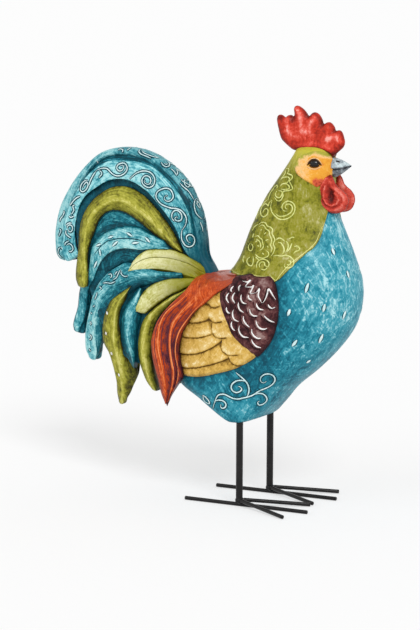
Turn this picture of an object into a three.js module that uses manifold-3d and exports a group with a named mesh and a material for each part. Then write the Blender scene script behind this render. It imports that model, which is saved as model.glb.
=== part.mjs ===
// A rooster figurine: hand-painted resin castings bonded together, standing on two black wire legs.
// Millimetres, +Z up. The bird faces +X, its mirror plane is y = 0 and its right side is at -Y.
import * as THREE from "three";
import { mergeVertices } from "three/addons/utils/BufferGeometryUtils.js";
import Module from "manifold-3d";

const wasm = await Module();
wasm.setup();

// Driving dimensions of the body and neck
const SEAM = 0.3; // gap left for the bond wherever two pieces meet
const BODY_LENGTH = 146; // rump to breast
const BODY_WIDTH = 84;
const BIRD_HEIGHT = 206; // belly to crown
const WING_RELIEF = 3.4; // how far the wing panels stand out
const SHOULDER_RELIEF = 4.6;
const SADDLE_THICKNESS = 7;
const SADDLE_WIDTH = 91;
const NECK_TENON_RADIUS = 11;
const NECK_TENON_LENGTH = 14;

// Driving dimensions of the tail
const TAIL_LENGTH = 130; // root to the rim's furthest point
const TAIL_HEIGHT = 200; // belly to the rim's top
const CORE_LOW_HALF = 15; // half thickness of the core at the rump
const CORE_TOP_HALF = 6;
const CORE_ROUNDING = 3; // of the core's edge
const RIM_THICKNESS = 16;
const PLUME_THICKNESS = 11;
const TIP_HALF = 8; // half thickness of the free tips, where right and left plumes meet
const TAIL_TENON_RADIUS = 7;
const TAIL_TENON_LENGTH = 16;

// Driving dimensions of the head
const COMB_LENGTH = 55;
const COMB_HEIGHT = 33;
const COMB_THICKNESS = 9;
const COMB_ROUNDING = 2;
const TANG_DEPTH = 6; // the comb's tang in the crown
const TANG_THICKNESS = 3.5;
const BEAK_LENGTH = 15;
const BEAK_HEIGHT = 14;
const BEAK_WIDTH = 14;
const BEAK_ROOT = 6; // how far the beak reaches into the head
const EYE_RADIUS = 3;
const EYE_STAND = 1.1; // how far the bead stands out of the head
const BEAK_LIFT = 1.5; // how far the beak's tip lies above the middle of its root
const WATTLE_HEIGHT = 24;
const WATTLE_WIDTH = 25;
const WATTLE_THICKNESS = 8;
const WATTLE_SPACING = 21; // between their tops
const WATTLE_SPLAY = 0.35; // radians, opening backwards

// Driving dimensions of the wire legs
const BELLY_LEVEL = 64; // the belly's height above the table
const LEG_DIAMETER = 5;
const LEG_SPACING = 51.7;
const LEG_IN_BODY = 26; // length of leg inside the belly
const TOE_DIAMETER = 3;
const MIDDLE_TOE = 56.5;
const HIND_TOE = 46;
const SIDE_TOE_REACH = 48;
const INNER_TOE_GAP = 0.9; // between the two inner toes, whose tips nearly meet
const WELD_RADIUS = 3.9;

// The outlines below are drawn in side view, [x, height above the table], at these sizes
const DRAWN = { body: 146, width: 84, bird: 206, belly: 64, root: -45, tail: 130, rim: 200 };
const DRAWN_COMB = { x: 47, z: 267, length: 55, height: 33 };
const DRAWN_WATTLE = { x: 62, z: 247, height: 24, width: 25 };
const DRAWN_EYE = { x: 53.5, z: 259, half: 12.1 }; // where the face is half this far across

/** A drawn point of the body at the driving size, in the bird's frame with the belly at zero. */
function onBird([x, z]) {
  return new THREE.Vector2(
    (x * BODY_LENGTH) / DRAWN.body,
    ((z - DRAWN.belly) * BIRD_HEIGHT) / DRAWN.bird,
  );
}

/** A drawn point of the tail, which grows from its root by its own sizes. */
function onTail([x, z]) {
  const root = onBird([DRAWN.root, DRAWN.belly]).x;
  return new THREE.Vector2(
    root + ((x - DRAWN.root) * TAIL_LENGTH) / DRAWN.tail,
    ((z - DRAWN.belly) * TAIL_HEIGHT) / DRAWN.rim,
  );
}

/** A drawn point of the comb, which grows from its foot on the crown. */
function onComb([x, z]) {
  const foot = onBird([DRAWN_COMB.x, DRAWN_COMB.z]);
  return new THREE.Vector2(
    foot.x + ((x - DRAWN_COMB.x) * COMB_LENGTH) / DRAWN_COMB.length,
    foot.y + ((z - DRAWN_COMB.z) * COMB_HEIGHT) / DRAWN_COMB.height,
  );
}

/** A drawn point of a wattle, which hangs from under the beak. */
function onWattle([x, z]) {
  const top = onBird([DRAWN_WATTLE.x, DRAWN_WATTLE.z]);
  return new THREE.Vector2(
    top.x + ((x - DRAWN_WATTLE.x) * WATTLE_WIDTH) / DRAWN_WATTLE.width,
    top.y + ((z - DRAWN_WATTLE.z) * WATTLE_HEIGHT) / DRAWN_WATTLE.height,
  );
}

// Paint colours
const paint = (color, roughness = 0.5) =>
  new THREE.MeshStandardMaterial({ color, roughness, metalness: 0 });
const TEAL = paint(0x2f8fa3);
const DEEP_TEAL = paint(0x125a6e);
const PALE_TEAL = paint(0x6fb9bf);
const OLIVE = paint(0x99942f);
const PALE_OLIVE = paint(0xc2bd62);
const ORANGE = paint(0xc9481f);
const OCHRE = paint(0xd7a94a);
const MAROON = paint(0x4b2226);
const RED = paint(0xc8352b);
const GREY = paint(0x8c9aa3, 0.4);
const EYE_BLACK = paint(0x0b0b0c, 0.1);
const WIRE_BLACK = new THREE.MeshStandardMaterial({ color: 0x1d1b1c, roughness: 0.45, metalness: 0.5 });

/** The same geometry with positions only and every shared vertex merged. */
function bare(geometry) {
  const copy = geometry.clone();
  copy.deleteAttribute("normal");
  copy.deleteAttribute("uv");
  return mergeVertices(copy, 1e-4);
}

/** A closed geometry as a manifold-3d solid. */
function solidOf(geometry) {
  const merged = bare(geometry);
  return new wasm.Manifold(
    new wasm.Mesh({
      numProp: 3,
      vertProperties: merged.attributes.position.array,
      triVerts: new Uint32Array(merged.index.array),
    }),
  );
}

/** The largest body of a solid, which drops any crumb that a cut leaves. */
function largest(solid) {
  return solid.decompose().sort((a, b) => b.volume() - a.volume())[0];
}

/** A solid as a named three.js mesh. */
function meshOf(name, solid, material) {
  const made = solid.getMesh();
  const positions = new Float32Array(made.numVert * 3);
  for (let i = 0; i < made.numVert; i++) {
    for (let k = 0; k < 3; k++) positions[i * 3 + k] = made.vertProperties[i * made.numProp + k];
  }
  const geometry = new THREE.BufferGeometry();
  geometry.setAttribute("position", new THREE.BufferAttribute(positions, 3));
  geometry.setIndex(new THREE.BufferAttribute(made.triVerts, 1));
  geometry.computeVertexNormals();
  const mesh = new THREE.Mesh(geometry, material);
  mesh.name = name;
  return mesh;
}

/** Rings of equal count skinned into one closed surface with flat ends. */
function skinned(rings) {
  const count = rings[0].length;
  const index = [];
  for (let r = 0; r + 1 < rings.length; r++) {
    for (let i = 0; i < count; i++) {
      const a = r * count + i;
      const b = r * count + ((i + 1) % count);
      index.push(a, b, b + count, a, b + count, a + count);
    }
  }
  const last = (rings.length - 1) * count;
  for (let i = 1; i + 1 < count; i++) {
    index.push(0, i + 1, i);
    index.push(last, last + i, last + i + 1);
  }
  const geometry = new THREE.BufferGeometry().setFromPoints(rings.flat());
  geometry.setIndex(index);
  return geometry;
}

/** A smooth closed surface moved outwards along its normals, or inwards by a negative distance. */
function grown(geometry, distance) {
  const moved = bare(geometry);
  moved.computeVertexNormals();
  const { position, normal } = moved.attributes;
  const at = new THREE.Vector3();
  const out = new THREE.Vector3();
  for (let i = 0; i < position.count; i++) {
    at.fromBufferAttribute(position, i);
    out.fromBufferAttribute(normal, i);
    at.addScaledVector(out, distance);
    position.setXYZ(i, at.x, at.y, at.z);
  }
  return moved;
}

/** An outline moved outwards by a distance. */
function outset(points, distance) {
  const turn = Math.sign(THREE.ShapeUtils.area(points));
  return points.map((point, i) => {
    const before = point.clone().sub(points.at(i - 1)).normalize();
    const after = points[(i + 1) % points.length].clone().sub(point).normalize();
    const along = before.add(after).normalize();
    const reach = (turn * distance) / Math.max(0.5, along.dot(after));
    return new THREE.Vector2(point.x + along.y * reach, point.y - along.x * reach);
  });
}

/** A side-view outline pushed out from one y to another, with its edges rounded where asked. */
function slab(points, from, to, rounding = 0) {
  const geometry = new THREE.ExtrudeGeometry(new THREE.Shape(points), {
    depth: to - from - 2 * rounding,
    bevelEnabled: rounding > 0,
    bevelThickness: rounding,
    bevelSize: rounding,
    bevelOffset: -rounding,
    bevelSegments: 1,
  });
  geometry.rotateX(Math.PI / 2);
  geometry.translate(0, to - rounding, 0);
  return geometry;
}

/** A wire or pin between two points, measured across its flats. */
function rod(from, to, radius, sides = 12) {
  const corner = radius / Math.cos(Math.PI / sides);
  const geometry = new THREE.CylinderGeometry(corner, corner, from.distanceTo(to), sides, 1);
  geometry.rotateY(Math.PI / sides);
  const up = new THREE.Vector3(0, 1, 0);
  const along = to.clone().sub(from).normalize();
  geometry.applyQuaternion(new THREE.Quaternion().setFromUnitVectors(up, along));
  const middle = from.clone().add(to).multiplyScalar(0.5);
  geometry.translate(middle.x, middle.y, middle.z);
  return solidOf(geometry);
}

/** A value read off evenly spaced values, at a share of the way along. */
function along(values, share) {
  const place = share * (values.length - 1);
  const low = Math.min(Math.floor(place), values.length - 2);
  return THREE.MathUtils.lerp(values[low], values[low + 1], place - low);
}

const SWEEP_STEPS = 11;
const SWEEP_SIDES = 8;

/** A lens-shaped section swept along a side-view curve, with its centre at the depths given. */
function sweep(spine, widths, thickness, depthAt, extra = 0) {
  const curve = new THREE.CatmullRomCurve3(
    spine.map(
      (point, i) => new THREE.Vector3(point.x, depthAt(point.y, i / (spine.length - 1)), point.y),
    ),
  );
  const rings = [];
  for (let s = 0; s <= SWEEP_STEPS; s++) {
    const share = s / SWEEP_STEPS;
    const centre = curve.getPoint(share);
    const tangent = curve.getTangent(share);
    const across = new THREE.Vector3(tangent.z, 0, -tangent.x).normalize();
    const width = along(widths, share);
    const half = width / 2 + extra;
    const blunt = Math.min(1, (2 * width) / Math.max(...widths));
    const ring = [];
    for (let i = 0; i < SWEEP_SIDES; i++) {
      const angle = (i / SWEEP_SIDES) * 2 * Math.PI;
      const point = centre.clone().addScaledVector(across, half * Math.cos(angle));
      point.y += ((thickness / 2) * blunt + extra) * Math.sin(angle);
      if (s === SWEEP_STEPS) point.addScaledVector(tangent, extra);
      ring.push(point);
    }
    rings.push(ring);
  }
  return skinned(rings);
}

/** A level-sliced surface. A slice is [height, back, front, half width, squareness], as drawn. */
function sliced(slices, steps, sides) {
  const sizes = new THREE.CatmullRomCurve3(
    slices.map(([, back, front, half]) => new THREE.Vector3(back, front, half)),
  );
  const levels = new THREE.CatmullRomCurve3(
    slices.map(([height, , , , square]) => new THREE.Vector3(height, square, 0)),
  );
  const rings = [];
  for (let s = 0; s <= steps; s++) {
    const size = sizes.getPoint(s / steps);
    const level = levels.getPoint(s / steps);
    const ring = [];
    for (let i = 0; i < sides; i++) {
      const angle = (i / sides) * 2 * Math.PI;
      const c = Math.sign(Math.cos(angle)) * Math.abs(Math.cos(angle)) ** (2 / level.y);
      const d = Math.sign(Math.sin(angle)) * Math.abs(Math.sin(angle)) ** (2 / level.y);
      const at = onBird([(size.x + size.y) / 2 + ((size.y - size.x) / 2) * c, level.x]);
      ring.push(new THREE.Vector3(at.x, (size.z * d * BODY_WIDTH) / DRAWN.width, at.y));
    }
    rings.push(ring);
  }
  return skinned(rings);
}

// The skin of body, neck and head in one
const SKIN = sliced(
  [
    [64, -12, 4, 29, 3.4],
    [66, -17, 9, 31, 3.2],
    [71, -27, 15, 33, 2.8],
    [79, -41, 23, 35, 2.5],
    [90, -59, 33, 37.5, 2.4],
    [104, -65, 50, 40, 2.3],
    [120, -66, 66, 41.5, 2.3],
    [136, -65, 78, 42, 2.3],
    [150, -60, 83, 42, 2.3],
    [161, -50, 84.5, 41.5, 2.3],
    [169, -34, 84, 40.5, 2.25],
    [175, -18, 83, 39, 2.2],
    [183, -11, 80.5, 36.5, 2.15],
    [196, -6.5, 76, 32, 2.1],
    [209, -2, 71, 27, 2.05],
    [222, 4, 66, 22.5, 2],
    [234, 10.5, 63, 19, 2],
    [246, 19, 63.5, 16.5, 2],
    [256, 26, 64, 14.5, 2],
    [264, 32, 62, 11.5, 2],
    [270, 39, 55, 6, 2],
  ],
  26,
  30,
);
const BIRD = solidOf(SKIN);
const BIRD_GROWN = solidOf(grown(SKIN, SEAM));
const SPAN = BODY_WIDTH; // further out than any piece lies
const REACH = BODY_LENGTH + TAIL_LENGTH + BIRD_HEIGHT; // further along or up than any piece lies
const PANEL_START = BODY_WIDTH / 8; // nearer the mirror plane than any wing panel

const group = new THREE.Group();
const bird = new THREE.Group();
group.add(bird);
const add = (name, solid, material) => bird.add(meshOf(name, largest(solid), material));

/** The same piece on the right side, as drawn, and mirrored on the left. */
function addPair(name, solid, material) {
  add(`${name}_right`, solid, material);
  add(`${name}_left`, solid.mirror([0, 1, 0]), material);
}

// Legs: a straight wire from the belly's bore to the long toe's back
const TABLE = -BELLY_LEVEL;
const LEG_FOOT = TABLE + TOE_DIAMETER + SEAM;
const legY = -LEG_SPACING / 2;
const sideToeSplay = (LEG_SPACING - TOE_DIAMETER - INNER_TOE_GAP) / 2;
const legFrom = new THREE.Vector3(0, legY, LEG_FOOT);
const legTo = new THREE.Vector3(0, legY, LEG_IN_BODY);
const leg = rod(legFrom, legTo, LEG_DIAMETER / 2);
const legBore = rod(legFrom, legTo.clone().setZ(LEG_IN_BODY + SEAM), LEG_DIAMETER / 2 + SEAM);

/** The three toe wires of the right foot, thicker by an extra all round. */
function toes(extra) {
  const radius = TOE_DIAMETER / 2 + extra;
  const floor = TABLE + TOE_DIAMETER / 2;
  const rootHeight = LEG_FOOT + TOE_DIAMETER / 2;
  const long = rod(
    new THREE.Vector3(-HIND_TOE, legY, floor),
    new THREE.Vector3(MIDDLE_TOE, legY, floor),
    radius,
  );
  const sides = [1, -1].map((hand) =>
    rod(
      new THREE.Vector3(LEG_DIAMETER / 2, legY + (hand * TOE_DIAMETER * 2) / 3, rootHeight),
      new THREE.Vector3(SIDE_TOE_REACH, legY + hand * sideToeSplay, floor + SEAM / 2),
      radius,
    ),
  );
  return { long, inner: sides[0], outer: sides[1] };
}

// Weld: the bead where the leg and the toes meet, resting on the long toe
const foot = toes(0);
const footGrown = toes(SEAM);
const bead = new THREE.SphereGeometry(WELD_RADIUS, 9, 6);
bead.translate(0, legY, LEG_FOOT + WELD_RADIUS / 2);
const weld = [legBore, footGrown.long, footGrown.inner, footGrown.outer].reduce(
  (rest, wire) => rest.subtract(wire),
  solidOf(bead),
);

// Neck: the skin above the cape's pointed edge, with a tenon that drops into the body
const CAPE = [
  [-45, 182],
  [0, 177.5],
  [23.5, 178],
  [33.5, 172.5],
  [41, 179.5],
  [55, 194.5],
  [61, 199.5],
  [64, 206],
  [64.5, 213],
  [62.5, 224],
  [62.5, 237],
  [95, 245],
  [95, 290],
  [-45, 290],
].map(onBird);
const tenonTop = onBird([20, 184]); // inside the neck, above the cape's edge
const capeFoot = onBird([20, 172]); // at the cape's lowest point
const neckTenon = (extra) =>
  rod(
    new THREE.Vector3(tenonTop.x, 0, capeFoot.y - NECK_TENON_LENGTH - extra),
    new THREE.Vector3(tenonTop.x, 0, tenonTop.y),
    NECK_TENON_RADIUS + extra,
    20,
  );

// Tail core: the web that carries the plumes, thinner towards its top
const CORE = [
  [-40, 140],
  [-40, 172],
  [-51, 186],
  [-55, 204],
  [-63, 222],
  [-77, 239],
  [-94, 250],
  [-108, 253],
  [-124, 251],
  [-138, 243],
  [-149, 228],
  [-154, 208],
  [-154, 188],
  [-146, 168],
  [-140, 148],
  [-130, 126],
  [-115, 104],
  [-100, 95],
  [-80, 93],
  [-62, 98],
  [-40, 104],
].map(onTail);
const coreHalf = (height) =>
  THREE.MathUtils.mapLinear(height, CORE[0].y / 2, TAIL_HEIGHT, CORE_LOW_HALF, CORE_TOP_HALF);

/** The core's solid, larger by an extra all round. */
function coreSolid(extra) {
  const geometry = slab(outset(CORE, extra), -CORE_LOW_HALF, CORE_LOW_HALF, CORE_ROUNDING);
  const { position } = geometry.attributes;
  for (let i = 0; i < position.count; i++) {
    const half = coreHalf(position.getZ(i)) + extra;
    position.setY(i, (position.getY(i) * half) / CORE_LOW_HALF);
  }
  return solidOf(geometry);
}
const coreGrown = coreSolid(SEAM);
const pinInCore = onTail([-72, 150]);
const pinAtRump = onBird([-60, 147]);
const tailPin = (extra) =>
  rod(
    new THREE.Vector3(pinInCore.x, 0, pinInCore.y),
    new THREE.Vector3(pinAtRump.x + TAIL_TENON_LENGTH + extra, 0, pinAtRump.y),
    TAIL_TENON_RADIUS + extra,
    16,
  );

// Saddle: the drape over the back and both flanks, whose pointed ends hang free behind the body
const SADDLE = [
  [3, 176],
  [-6, 181],
  [-20, 179],
  [-34, 173],
  [-45, 164],
  [-55, 154],
  [-65, 143],
  [-72, 132],
  [-75, 120],
  [-74, 107],
  [-70, 94],
  [-66, 83],
  [-60, 73],
  [-54, 81],
  [-48, 92],
  [-48, 100],
  [-49.5, 113],
  [-45, 126],
  [-38, 137],
  [-27, 150],
  [-11, 163],
].map(onBird);
const DRAPE = sliced(
  [
    [64, -84, 40, 38, 2],
    [80, -90, 60, 42, 2.1],
    [100, -96, 75, 45, 2.2],
    [125, -97, 84, 46, 2.2],
    [145, -88, 88, 46, 2.2],
    [160, -70, 88, 45.5, 2.2],
    [170, -42, 88, 44.5, 2.2],
    [176, -21, 87, 43, 2.2],
    [184, -13, 84, 40, 2.2],
    [196, -9, 80, 35, 2.1],
  ],
  18,
  32,
);
DRAPE.computeBoundingBox();
DRAPE.scale(1, SADDLE_WIDTH / 2 / DRAPE.boundingBox.max.y, 1);
const drape = solidOf(DRAPE)
  .subtract(solidOf(grown(DRAPE, -SADDLE_THICKNESS)))
  .intersect(solidOf(slab(SADDLE, -SPAN, SPAN)))
  .subtract(BIRD_GROWN)
  .subtract(coreGrown)
  .subtract(tailPin(SEAM));
const drapeReach = solidOf(grown(DRAPE, SEAM)).intersect(
  solidOf(slab(outset(SADDLE, SEAM), -SPAN, SPAN)),
);

// Plumes, the front ones first: widths and spine run from root to tip, and a free tip leaves the core
const PLUMES = [
  {
    name: "upper_leaf",
    colour: PALE_OLIVE,
    widths: [7, 12, 17, 16, 10, 2],
    spine: [[-46, 178], [-56, 181], [-69, 183.5], [-85, 182], [-96, 178], [-104, 172]],
    free: false,
  },
  {
    name: "lower_leaf",
    colour: PALE_OLIVE,
    widths: [8, 12, 14, 12, 7],
    spine: [[-46, 170], [-60, 165], [-74, 159], [-85, 152], [-92, 142]],
    free: false,
  },
  {
    name: "inner_covert",
    colour: OLIVE,
    widths: [7, 8, 8, 8, 7, 5, 2],
    spine: [[-60, 155], [-76, 145], [-86, 132], [-89, 118], [-87, 103], [-83, 91], [-77, 81]],
    free: false,
  },
  {
    name: "olive_covert",
    colour: OLIVE,
    widths: [2, 10, 13, 13, 12, 11, 7],
    spine: [[-101, 158], [-113, 146], [-117, 132], [-117, 116], [-114, 98], [-111, 83], [-112, 68]],
    free: true,
  },
  {
    name: "short_covert",
    colour: TEAL,
    widths: [7, 12, 12, 9, 2],
    spine: [[-86, 154], [-99, 142], [-103, 126], [-102, 111], [-97, 97]],
    free: false,
  },
  {
    name: "scrolled_covert",
    colour: PALE_TEAL,
    widths: [9, 13, 14, 14, 14, 12, 5],
    spine: [[-52, 170], [-78, 168], [-101, 166], [-119, 156], [-131, 139], [-136, 120], [-139, 101]],
    free: true,
  },
  {
    name: "olive_sickle",
    colour: OLIVE,
    widths: [9, 14, 15, 15, 14, 10, 8, 10, 8],
    spine: [
      [-58, 187],
      [-74, 206],
      [-94, 221],
      [-113, 225],
      [-130, 219],
      [-141, 205],
      [-145, 189],
      [-147, 172],
      [-148, 158],
    ],
    free: false,
  },
  {
    name: "leafy_covert",
    colour: PALE_TEAL,
    widths: [8, 12, 13, 12, 11, 9, 4],
    spine: [[-64, 187], [-87, 193], [-108, 196], [-128, 187], [-140, 167], [-146, 145], [-152, 124]],
    free: true,
  },
  {
    name: "upper_sickle",
    colour: PALE_TEAL,
    widths: [13, 14, 15, 14, 13, 13, 11, 10, 8],
    spine: [
      [-55, 192],
      [-62, 216],
      [-80, 234],
      [-102, 245],
      [-125, 245],
      [-144, 234],
      [-155, 215],
      [-158, 196],
      [-161, 179],
    ],
    free: true,
  },
];
const FREE_FROM = 0.45; // share of a plume's length where a free tip starts to near the mirror plane

/** The depth of a plume's middle, which lies on the core and, at a free tip, by the mirror plane. */
function plumeDepth(free) {
  const tip = TIP_HALF - PLUME_THICKNESS / 2;
  return (height, share) => {
    const lean = free ? THREE.MathUtils.smoothstep(share, FREE_FROM, 1) : 0;
    return -THREE.MathUtils.lerp(coreHalf(height), tip, lean);
  };
}

// Rim plume: the outermost feather, centred on the mirror plane
const RIM_SPINE = [
  [-46, 184],
  [-46.5, 197],
  [-51, 214],
  [-64, 235],
  [-84, 251],
  [-106, 258.5],
  [-129, 255],
  [-147, 239],
  [-161, 217],
  [-167, 196],
  [-168, 175],
].map(onTail);
const RIM_WIDTHS = [6, 8, 11, 12, 12, 11, 11, 13, 15, 14, 9];
const onMiddle = () => 0;
const rim = solidOf(sweep(RIM_SPINE, RIM_WIDTHS, RIM_THICKNESS, onMiddle));

const corners = [[-1, -1], [1, -1], [1, 1], [-1, 1]].map(
  ([x, z]) => new THREE.Vector2(x * REACH, z * REACH),
);
const rightHalf = solidOf(slab(corners, -SPAN, -SEAM / 2));
let ahead = drapeReach.add(BIRD_GROWN).add(coreGrown);
for (const { name, colour, widths, spine, free } of PLUMES) {
  const points = spine.map(onTail);
  const plume = solidOf(sweep(points, widths, PLUME_THICKNESS, plumeDepth(free)));
  addPair(name, plume.subtract(ahead).intersect(rightHalf), colour);
  ahead = ahead.add(solidOf(sweep(points, widths, PLUME_THICKNESS, plumeDepth(free), SEAM)));
}
add("rim_plume", rim.subtract(ahead).subtract(ahead.mirror([0, 1, 0])), PALE_TEAL);
add("tail_core", coreSolid(0).subtract(BIRD_GROWN).add(tailPin(0)), DEEP_TEAL);
add("saddle", drape, ORANGE);

// Wing panels: the skin's own relief inside an outline
const SHOULDER = [
  [5, 175],
  [-9, 163],
  [-8, 151],
  [-6, 141],
  [1, 132],
  [13, 125],
  [23, 120],
  [34, 132],
  [40, 142],
  [42, 155],
  [40, 166],
  [36, 171],
  [32, 169],
  [20, 174],
].map(onBird);
const WING = [
  [-51, 97],
  [-54, 113],
  [-49, 126],
  [-40, 138],
  [-28, 150],
  [-11, 165],
  [-3, 160],
  [14, 140],
  [30, 125],
  [22, 118],
  [13, 111],
  [0, 105],
  [-19, 100],
].map(onBird);

/** The band between the skin and a relief above it, on the right side inside an outline. */
function relief(outline, height) {
  return solidOf(grown(SKIN, height))
    .subtract(BIRD_GROWN)
    .intersect(solidOf(slab(outline, -SPAN, -PANEL_START)));
}
const saddleEdge = solidOf(slab(outset(SADDLE, SEAM), -SPAN, SPAN));
const shoulderEdge = solidOf(slab(outset(SHOULDER, SEAM), -SPAN, SPAN));
addPair("wing_shoulder", relief(SHOULDER, SHOULDER_RELIEF).subtract(saddleEdge), MAROON);
addPair("wing", relief(WING, WING_RELIEF).subtract(saddleEdge).subtract(shoulderEdge), OCHRE);

// Comb: lobes on a thin crest, with a tang that drops into the crown
const COMB = [
  [32, 266],
  [21.5, 274.5],
  [17.6, 283.7],
  [16.5, 290],
  [18.5, 293],
  [23, 290.7],
  [27, 292.6],
  [31, 290],
  [30.5, 297.5],
  [32.3, 300],
  [38.5, 296.2],
  [42.3, 291.6],
  [46.5, 295.6],
  [51, 292.5],
  [54.2, 286.7],
  [58.7, 288.4],
  [62, 286.4],
  [64.3, 281.2],
  [67.2, 283],
  [69.8, 280.8],
  [71.5, 274],
  [69.3, 268.6],
  [63, 264],
  [50, 262],
].map(onComb);
const crown = onBird([47, 270]);
const tangTop = crown.y + COMB_HEIGHT / 6; // inside the comb

/** The comb's tang, larger by an extra all round. */
function tang(extra) {
  const height = tangTop - crown.y + TANG_DEPTH + 2 * extra;
  const block = new THREE.BoxGeometry(
    COMB_LENGTH / 3 + 2 * extra,
    TANG_THICKNESS + 2 * extra,
    height,
  );
  block.translate(crown.x, 0, tangTop + extra - height / 2);
  return solidOf(block);
}
const comb = solidOf(slab(COMB, -COMB_THICKNESS / 2, COMB_THICKNESS / 2, COMB_ROUNDING));
add("comb", comb.subtract(BIRD_GROWN).add(tang(0)), RED);

// Beak: a cone with a rounded root that sits in the face
const BEAK_SHAPE = [
  [0, 1],
  [0.35, 0.98],
  [0.55, 0.8],
  [0.75, 0.52],
  [0.92, 0.22],
  [1, 0.07],
];
const beakRoot = onBird([62, 256]);

/** The beak's solid, larger by an extra all round. */
function beakSolid(extra) {
  const rings = BEAK_SHAPE.map(([share, size]) => {
    const x = beakRoot.x - BEAK_ROOT - extra + share * (BEAK_ROOT + BEAK_LENGTH + 2 * extra);
    const ring = [];
    for (let i = 0; i < SWEEP_SIDES; i++) {
      const angle = (i / SWEEP_SIDES) * 2 * Math.PI;
      const y = ((BEAK_WIDTH / 2) * size + extra) * Math.cos(angle);
      const z = ((BEAK_HEIGHT / 2) * size + extra) * Math.sin(angle);
      ring.push(new THREE.Vector3(x, y, beakRoot.y + z + (1 - size) * BEAK_LIFT));
    }
    return ring;
  });
  return solidOf(skinned(rings));
}
add("beak", beakSolid(0), GREY);

// Eyes: beads sunk in the face
const eyeAt = onBird([DRAWN_EYE.x, DRAWN_EYE.z]);
const faceHalf = (DRAWN_EYE.half * BODY_WIDTH) / DRAWN.width;
const eye = (extra) => {
  const ball = new THREE.SphereGeometry(EYE_RADIUS + extra, 12, 8);
  ball.translate(eyeAt.x, EYE_RADIUS - EYE_STAND - faceHalf, eyeAt.y);
  return solidOf(ball);
};
addPair("eye", eye(0), EYE_BLACK);

// Wattles: rounded lobes under the beak, splayed a little so that each wraps the throat
const WATTLE_SPINE = [[61, 248], [63, 242], [65, 235], [67, 229], [69, 224]].map(onWattle);
const WATTLE_WIDTHS = [9, 18, 25, 24, 11];
const wattleLobe = sweep(
  WATTLE_SPINE,
  WATTLE_WIDTHS.map((width) => (width * WATTLE_WIDTH) / DRAWN_WATTLE.width),
  WATTLE_THICKNESS,
  onMiddle,
);
wattleLobe.translate(-WATTLE_SPINE[0].x, 0, 0);
wattleLobe.rotateZ(WATTLE_SPLAY);
wattleLobe.translate(WATTLE_SPINE[0].x, -WATTLE_SPACING / 2, 0);
const wattle = solidOf(wattleLobe).intersect(rightHalf);
addPair("wattle", wattle.subtract(BIRD_GROWN).subtract(beakSolid(SEAM)), RED);

const neck = BIRD.intersect(solidOf(slab(CAPE, -SPAN, SPAN)))
  .subtract(beakSolid(SEAM))
  .subtract(tang(SEAM))
  .subtract(eye(SEAM))
  .subtract(eye(SEAM).mirror([0, 1, 0]))
  .add(neckTenon(0));
add("neck_and_head", neck, OLIVE);

// Body: the skin below the cape, with the sockets and bores of what it carries
const body = BIRD.subtract(solidOf(slab(outset(CAPE, SEAM), -SPAN, SPAN)))
  .subtract(neckTenon(SEAM))
  .subtract(tailPin(SEAM))
  .subtract(legBore)
  .subtract(legBore.mirror([0, 1, 0]));
add("body_casting", body, TEAL);

addPair("leg", leg, WIRE_BLACK);
addPair("long_toe", foot.long, WIRE_BLACK);
addPair("inner_toe", foot.inner, WIRE_BLACK);
addPair("outer_toe", foot.outer, WIRE_BLACK);
addPair("foot_weld", weld, WIRE_BLACK);

// The origin is on the table, under the middle of the whole figure
const box = new THREE.Box3().setFromObject(bird);
bird.position.set(-(box.min.x + box.max.x) / 2, 0, BELLY_LEVEL);

export default group;
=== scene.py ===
"""A painted resin rooster on two wire legs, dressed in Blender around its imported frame."""

import math

import bmesh
import bpy
from mathutils import Matrix, Vector, noise
from mathutils.bvhtree import BVHTree


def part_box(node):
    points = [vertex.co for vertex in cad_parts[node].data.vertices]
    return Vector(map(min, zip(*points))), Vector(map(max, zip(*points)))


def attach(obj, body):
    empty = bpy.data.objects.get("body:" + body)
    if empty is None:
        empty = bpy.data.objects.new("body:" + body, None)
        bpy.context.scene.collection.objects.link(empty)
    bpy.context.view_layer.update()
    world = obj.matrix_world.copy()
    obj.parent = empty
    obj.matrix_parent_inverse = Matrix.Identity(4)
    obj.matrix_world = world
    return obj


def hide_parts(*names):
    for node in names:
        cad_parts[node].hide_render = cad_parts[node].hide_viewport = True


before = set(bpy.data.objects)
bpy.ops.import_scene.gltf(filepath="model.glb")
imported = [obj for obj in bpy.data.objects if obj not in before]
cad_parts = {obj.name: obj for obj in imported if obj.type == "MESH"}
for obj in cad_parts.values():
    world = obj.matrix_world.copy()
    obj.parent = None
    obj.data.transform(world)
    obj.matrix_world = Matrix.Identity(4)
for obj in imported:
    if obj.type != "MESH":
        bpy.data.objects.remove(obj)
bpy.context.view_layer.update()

# Shapes are drawn in millimetres: x = 0 at the legs, y = 0 at the mirror plane, z = 0 on the table.
# The bird faces +X and its right side, at -Y, is the one in the photograph.
MM = 0.001
LEG_LOW, LEG_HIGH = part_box("leg_right")
LEG_X = (LEG_LOW.x + LEG_HIGH.x) / 2
LEG_Y = (LEG_LOW.y + LEG_HIGH.y) / 2 / MM
PLACE = Matrix.Translation((LEG_X, 0, 0)) @ Matrix.Scale(MM, 4)
MIRROR = Matrix.Scale(-1, 4, (0, 1, 0))

# The camera that took the photograph, worked out from the two like feet
PHOTO_WIDTH, PHOTO_HEIGHT = 420, 630
AZIMUTH, ELEVATION, ROLL = math.radians(27.6), math.radians(8.25), math.radians(0.26)
CAMERA_DISTANCE = 1800
MM_PER_PIXEL = 0.76
AIM = Vector((-39, 0, 139))
PIXELS_AWAY = CAMERA_DISTANCE / MM_PER_PIXEL
BACK = Vector((
    math.sin(AZIMUTH) * math.cos(ELEVATION),
    -math.cos(AZIMUTH) * math.cos(ELEVATION),
    math.sin(ELEVATION),
))
LEVEL = Vector((math.cos(AZIMUTH), math.sin(AZIMUTH), 0))
RIGHT = LEVEL * math.cos(ROLL) + BACK.cross(LEVEL) * math.sin(ROLL)
UP = BACK.cross(RIGHT)
LENS_AT = AIM + BACK * CAMERA_DISTANCE


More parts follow.
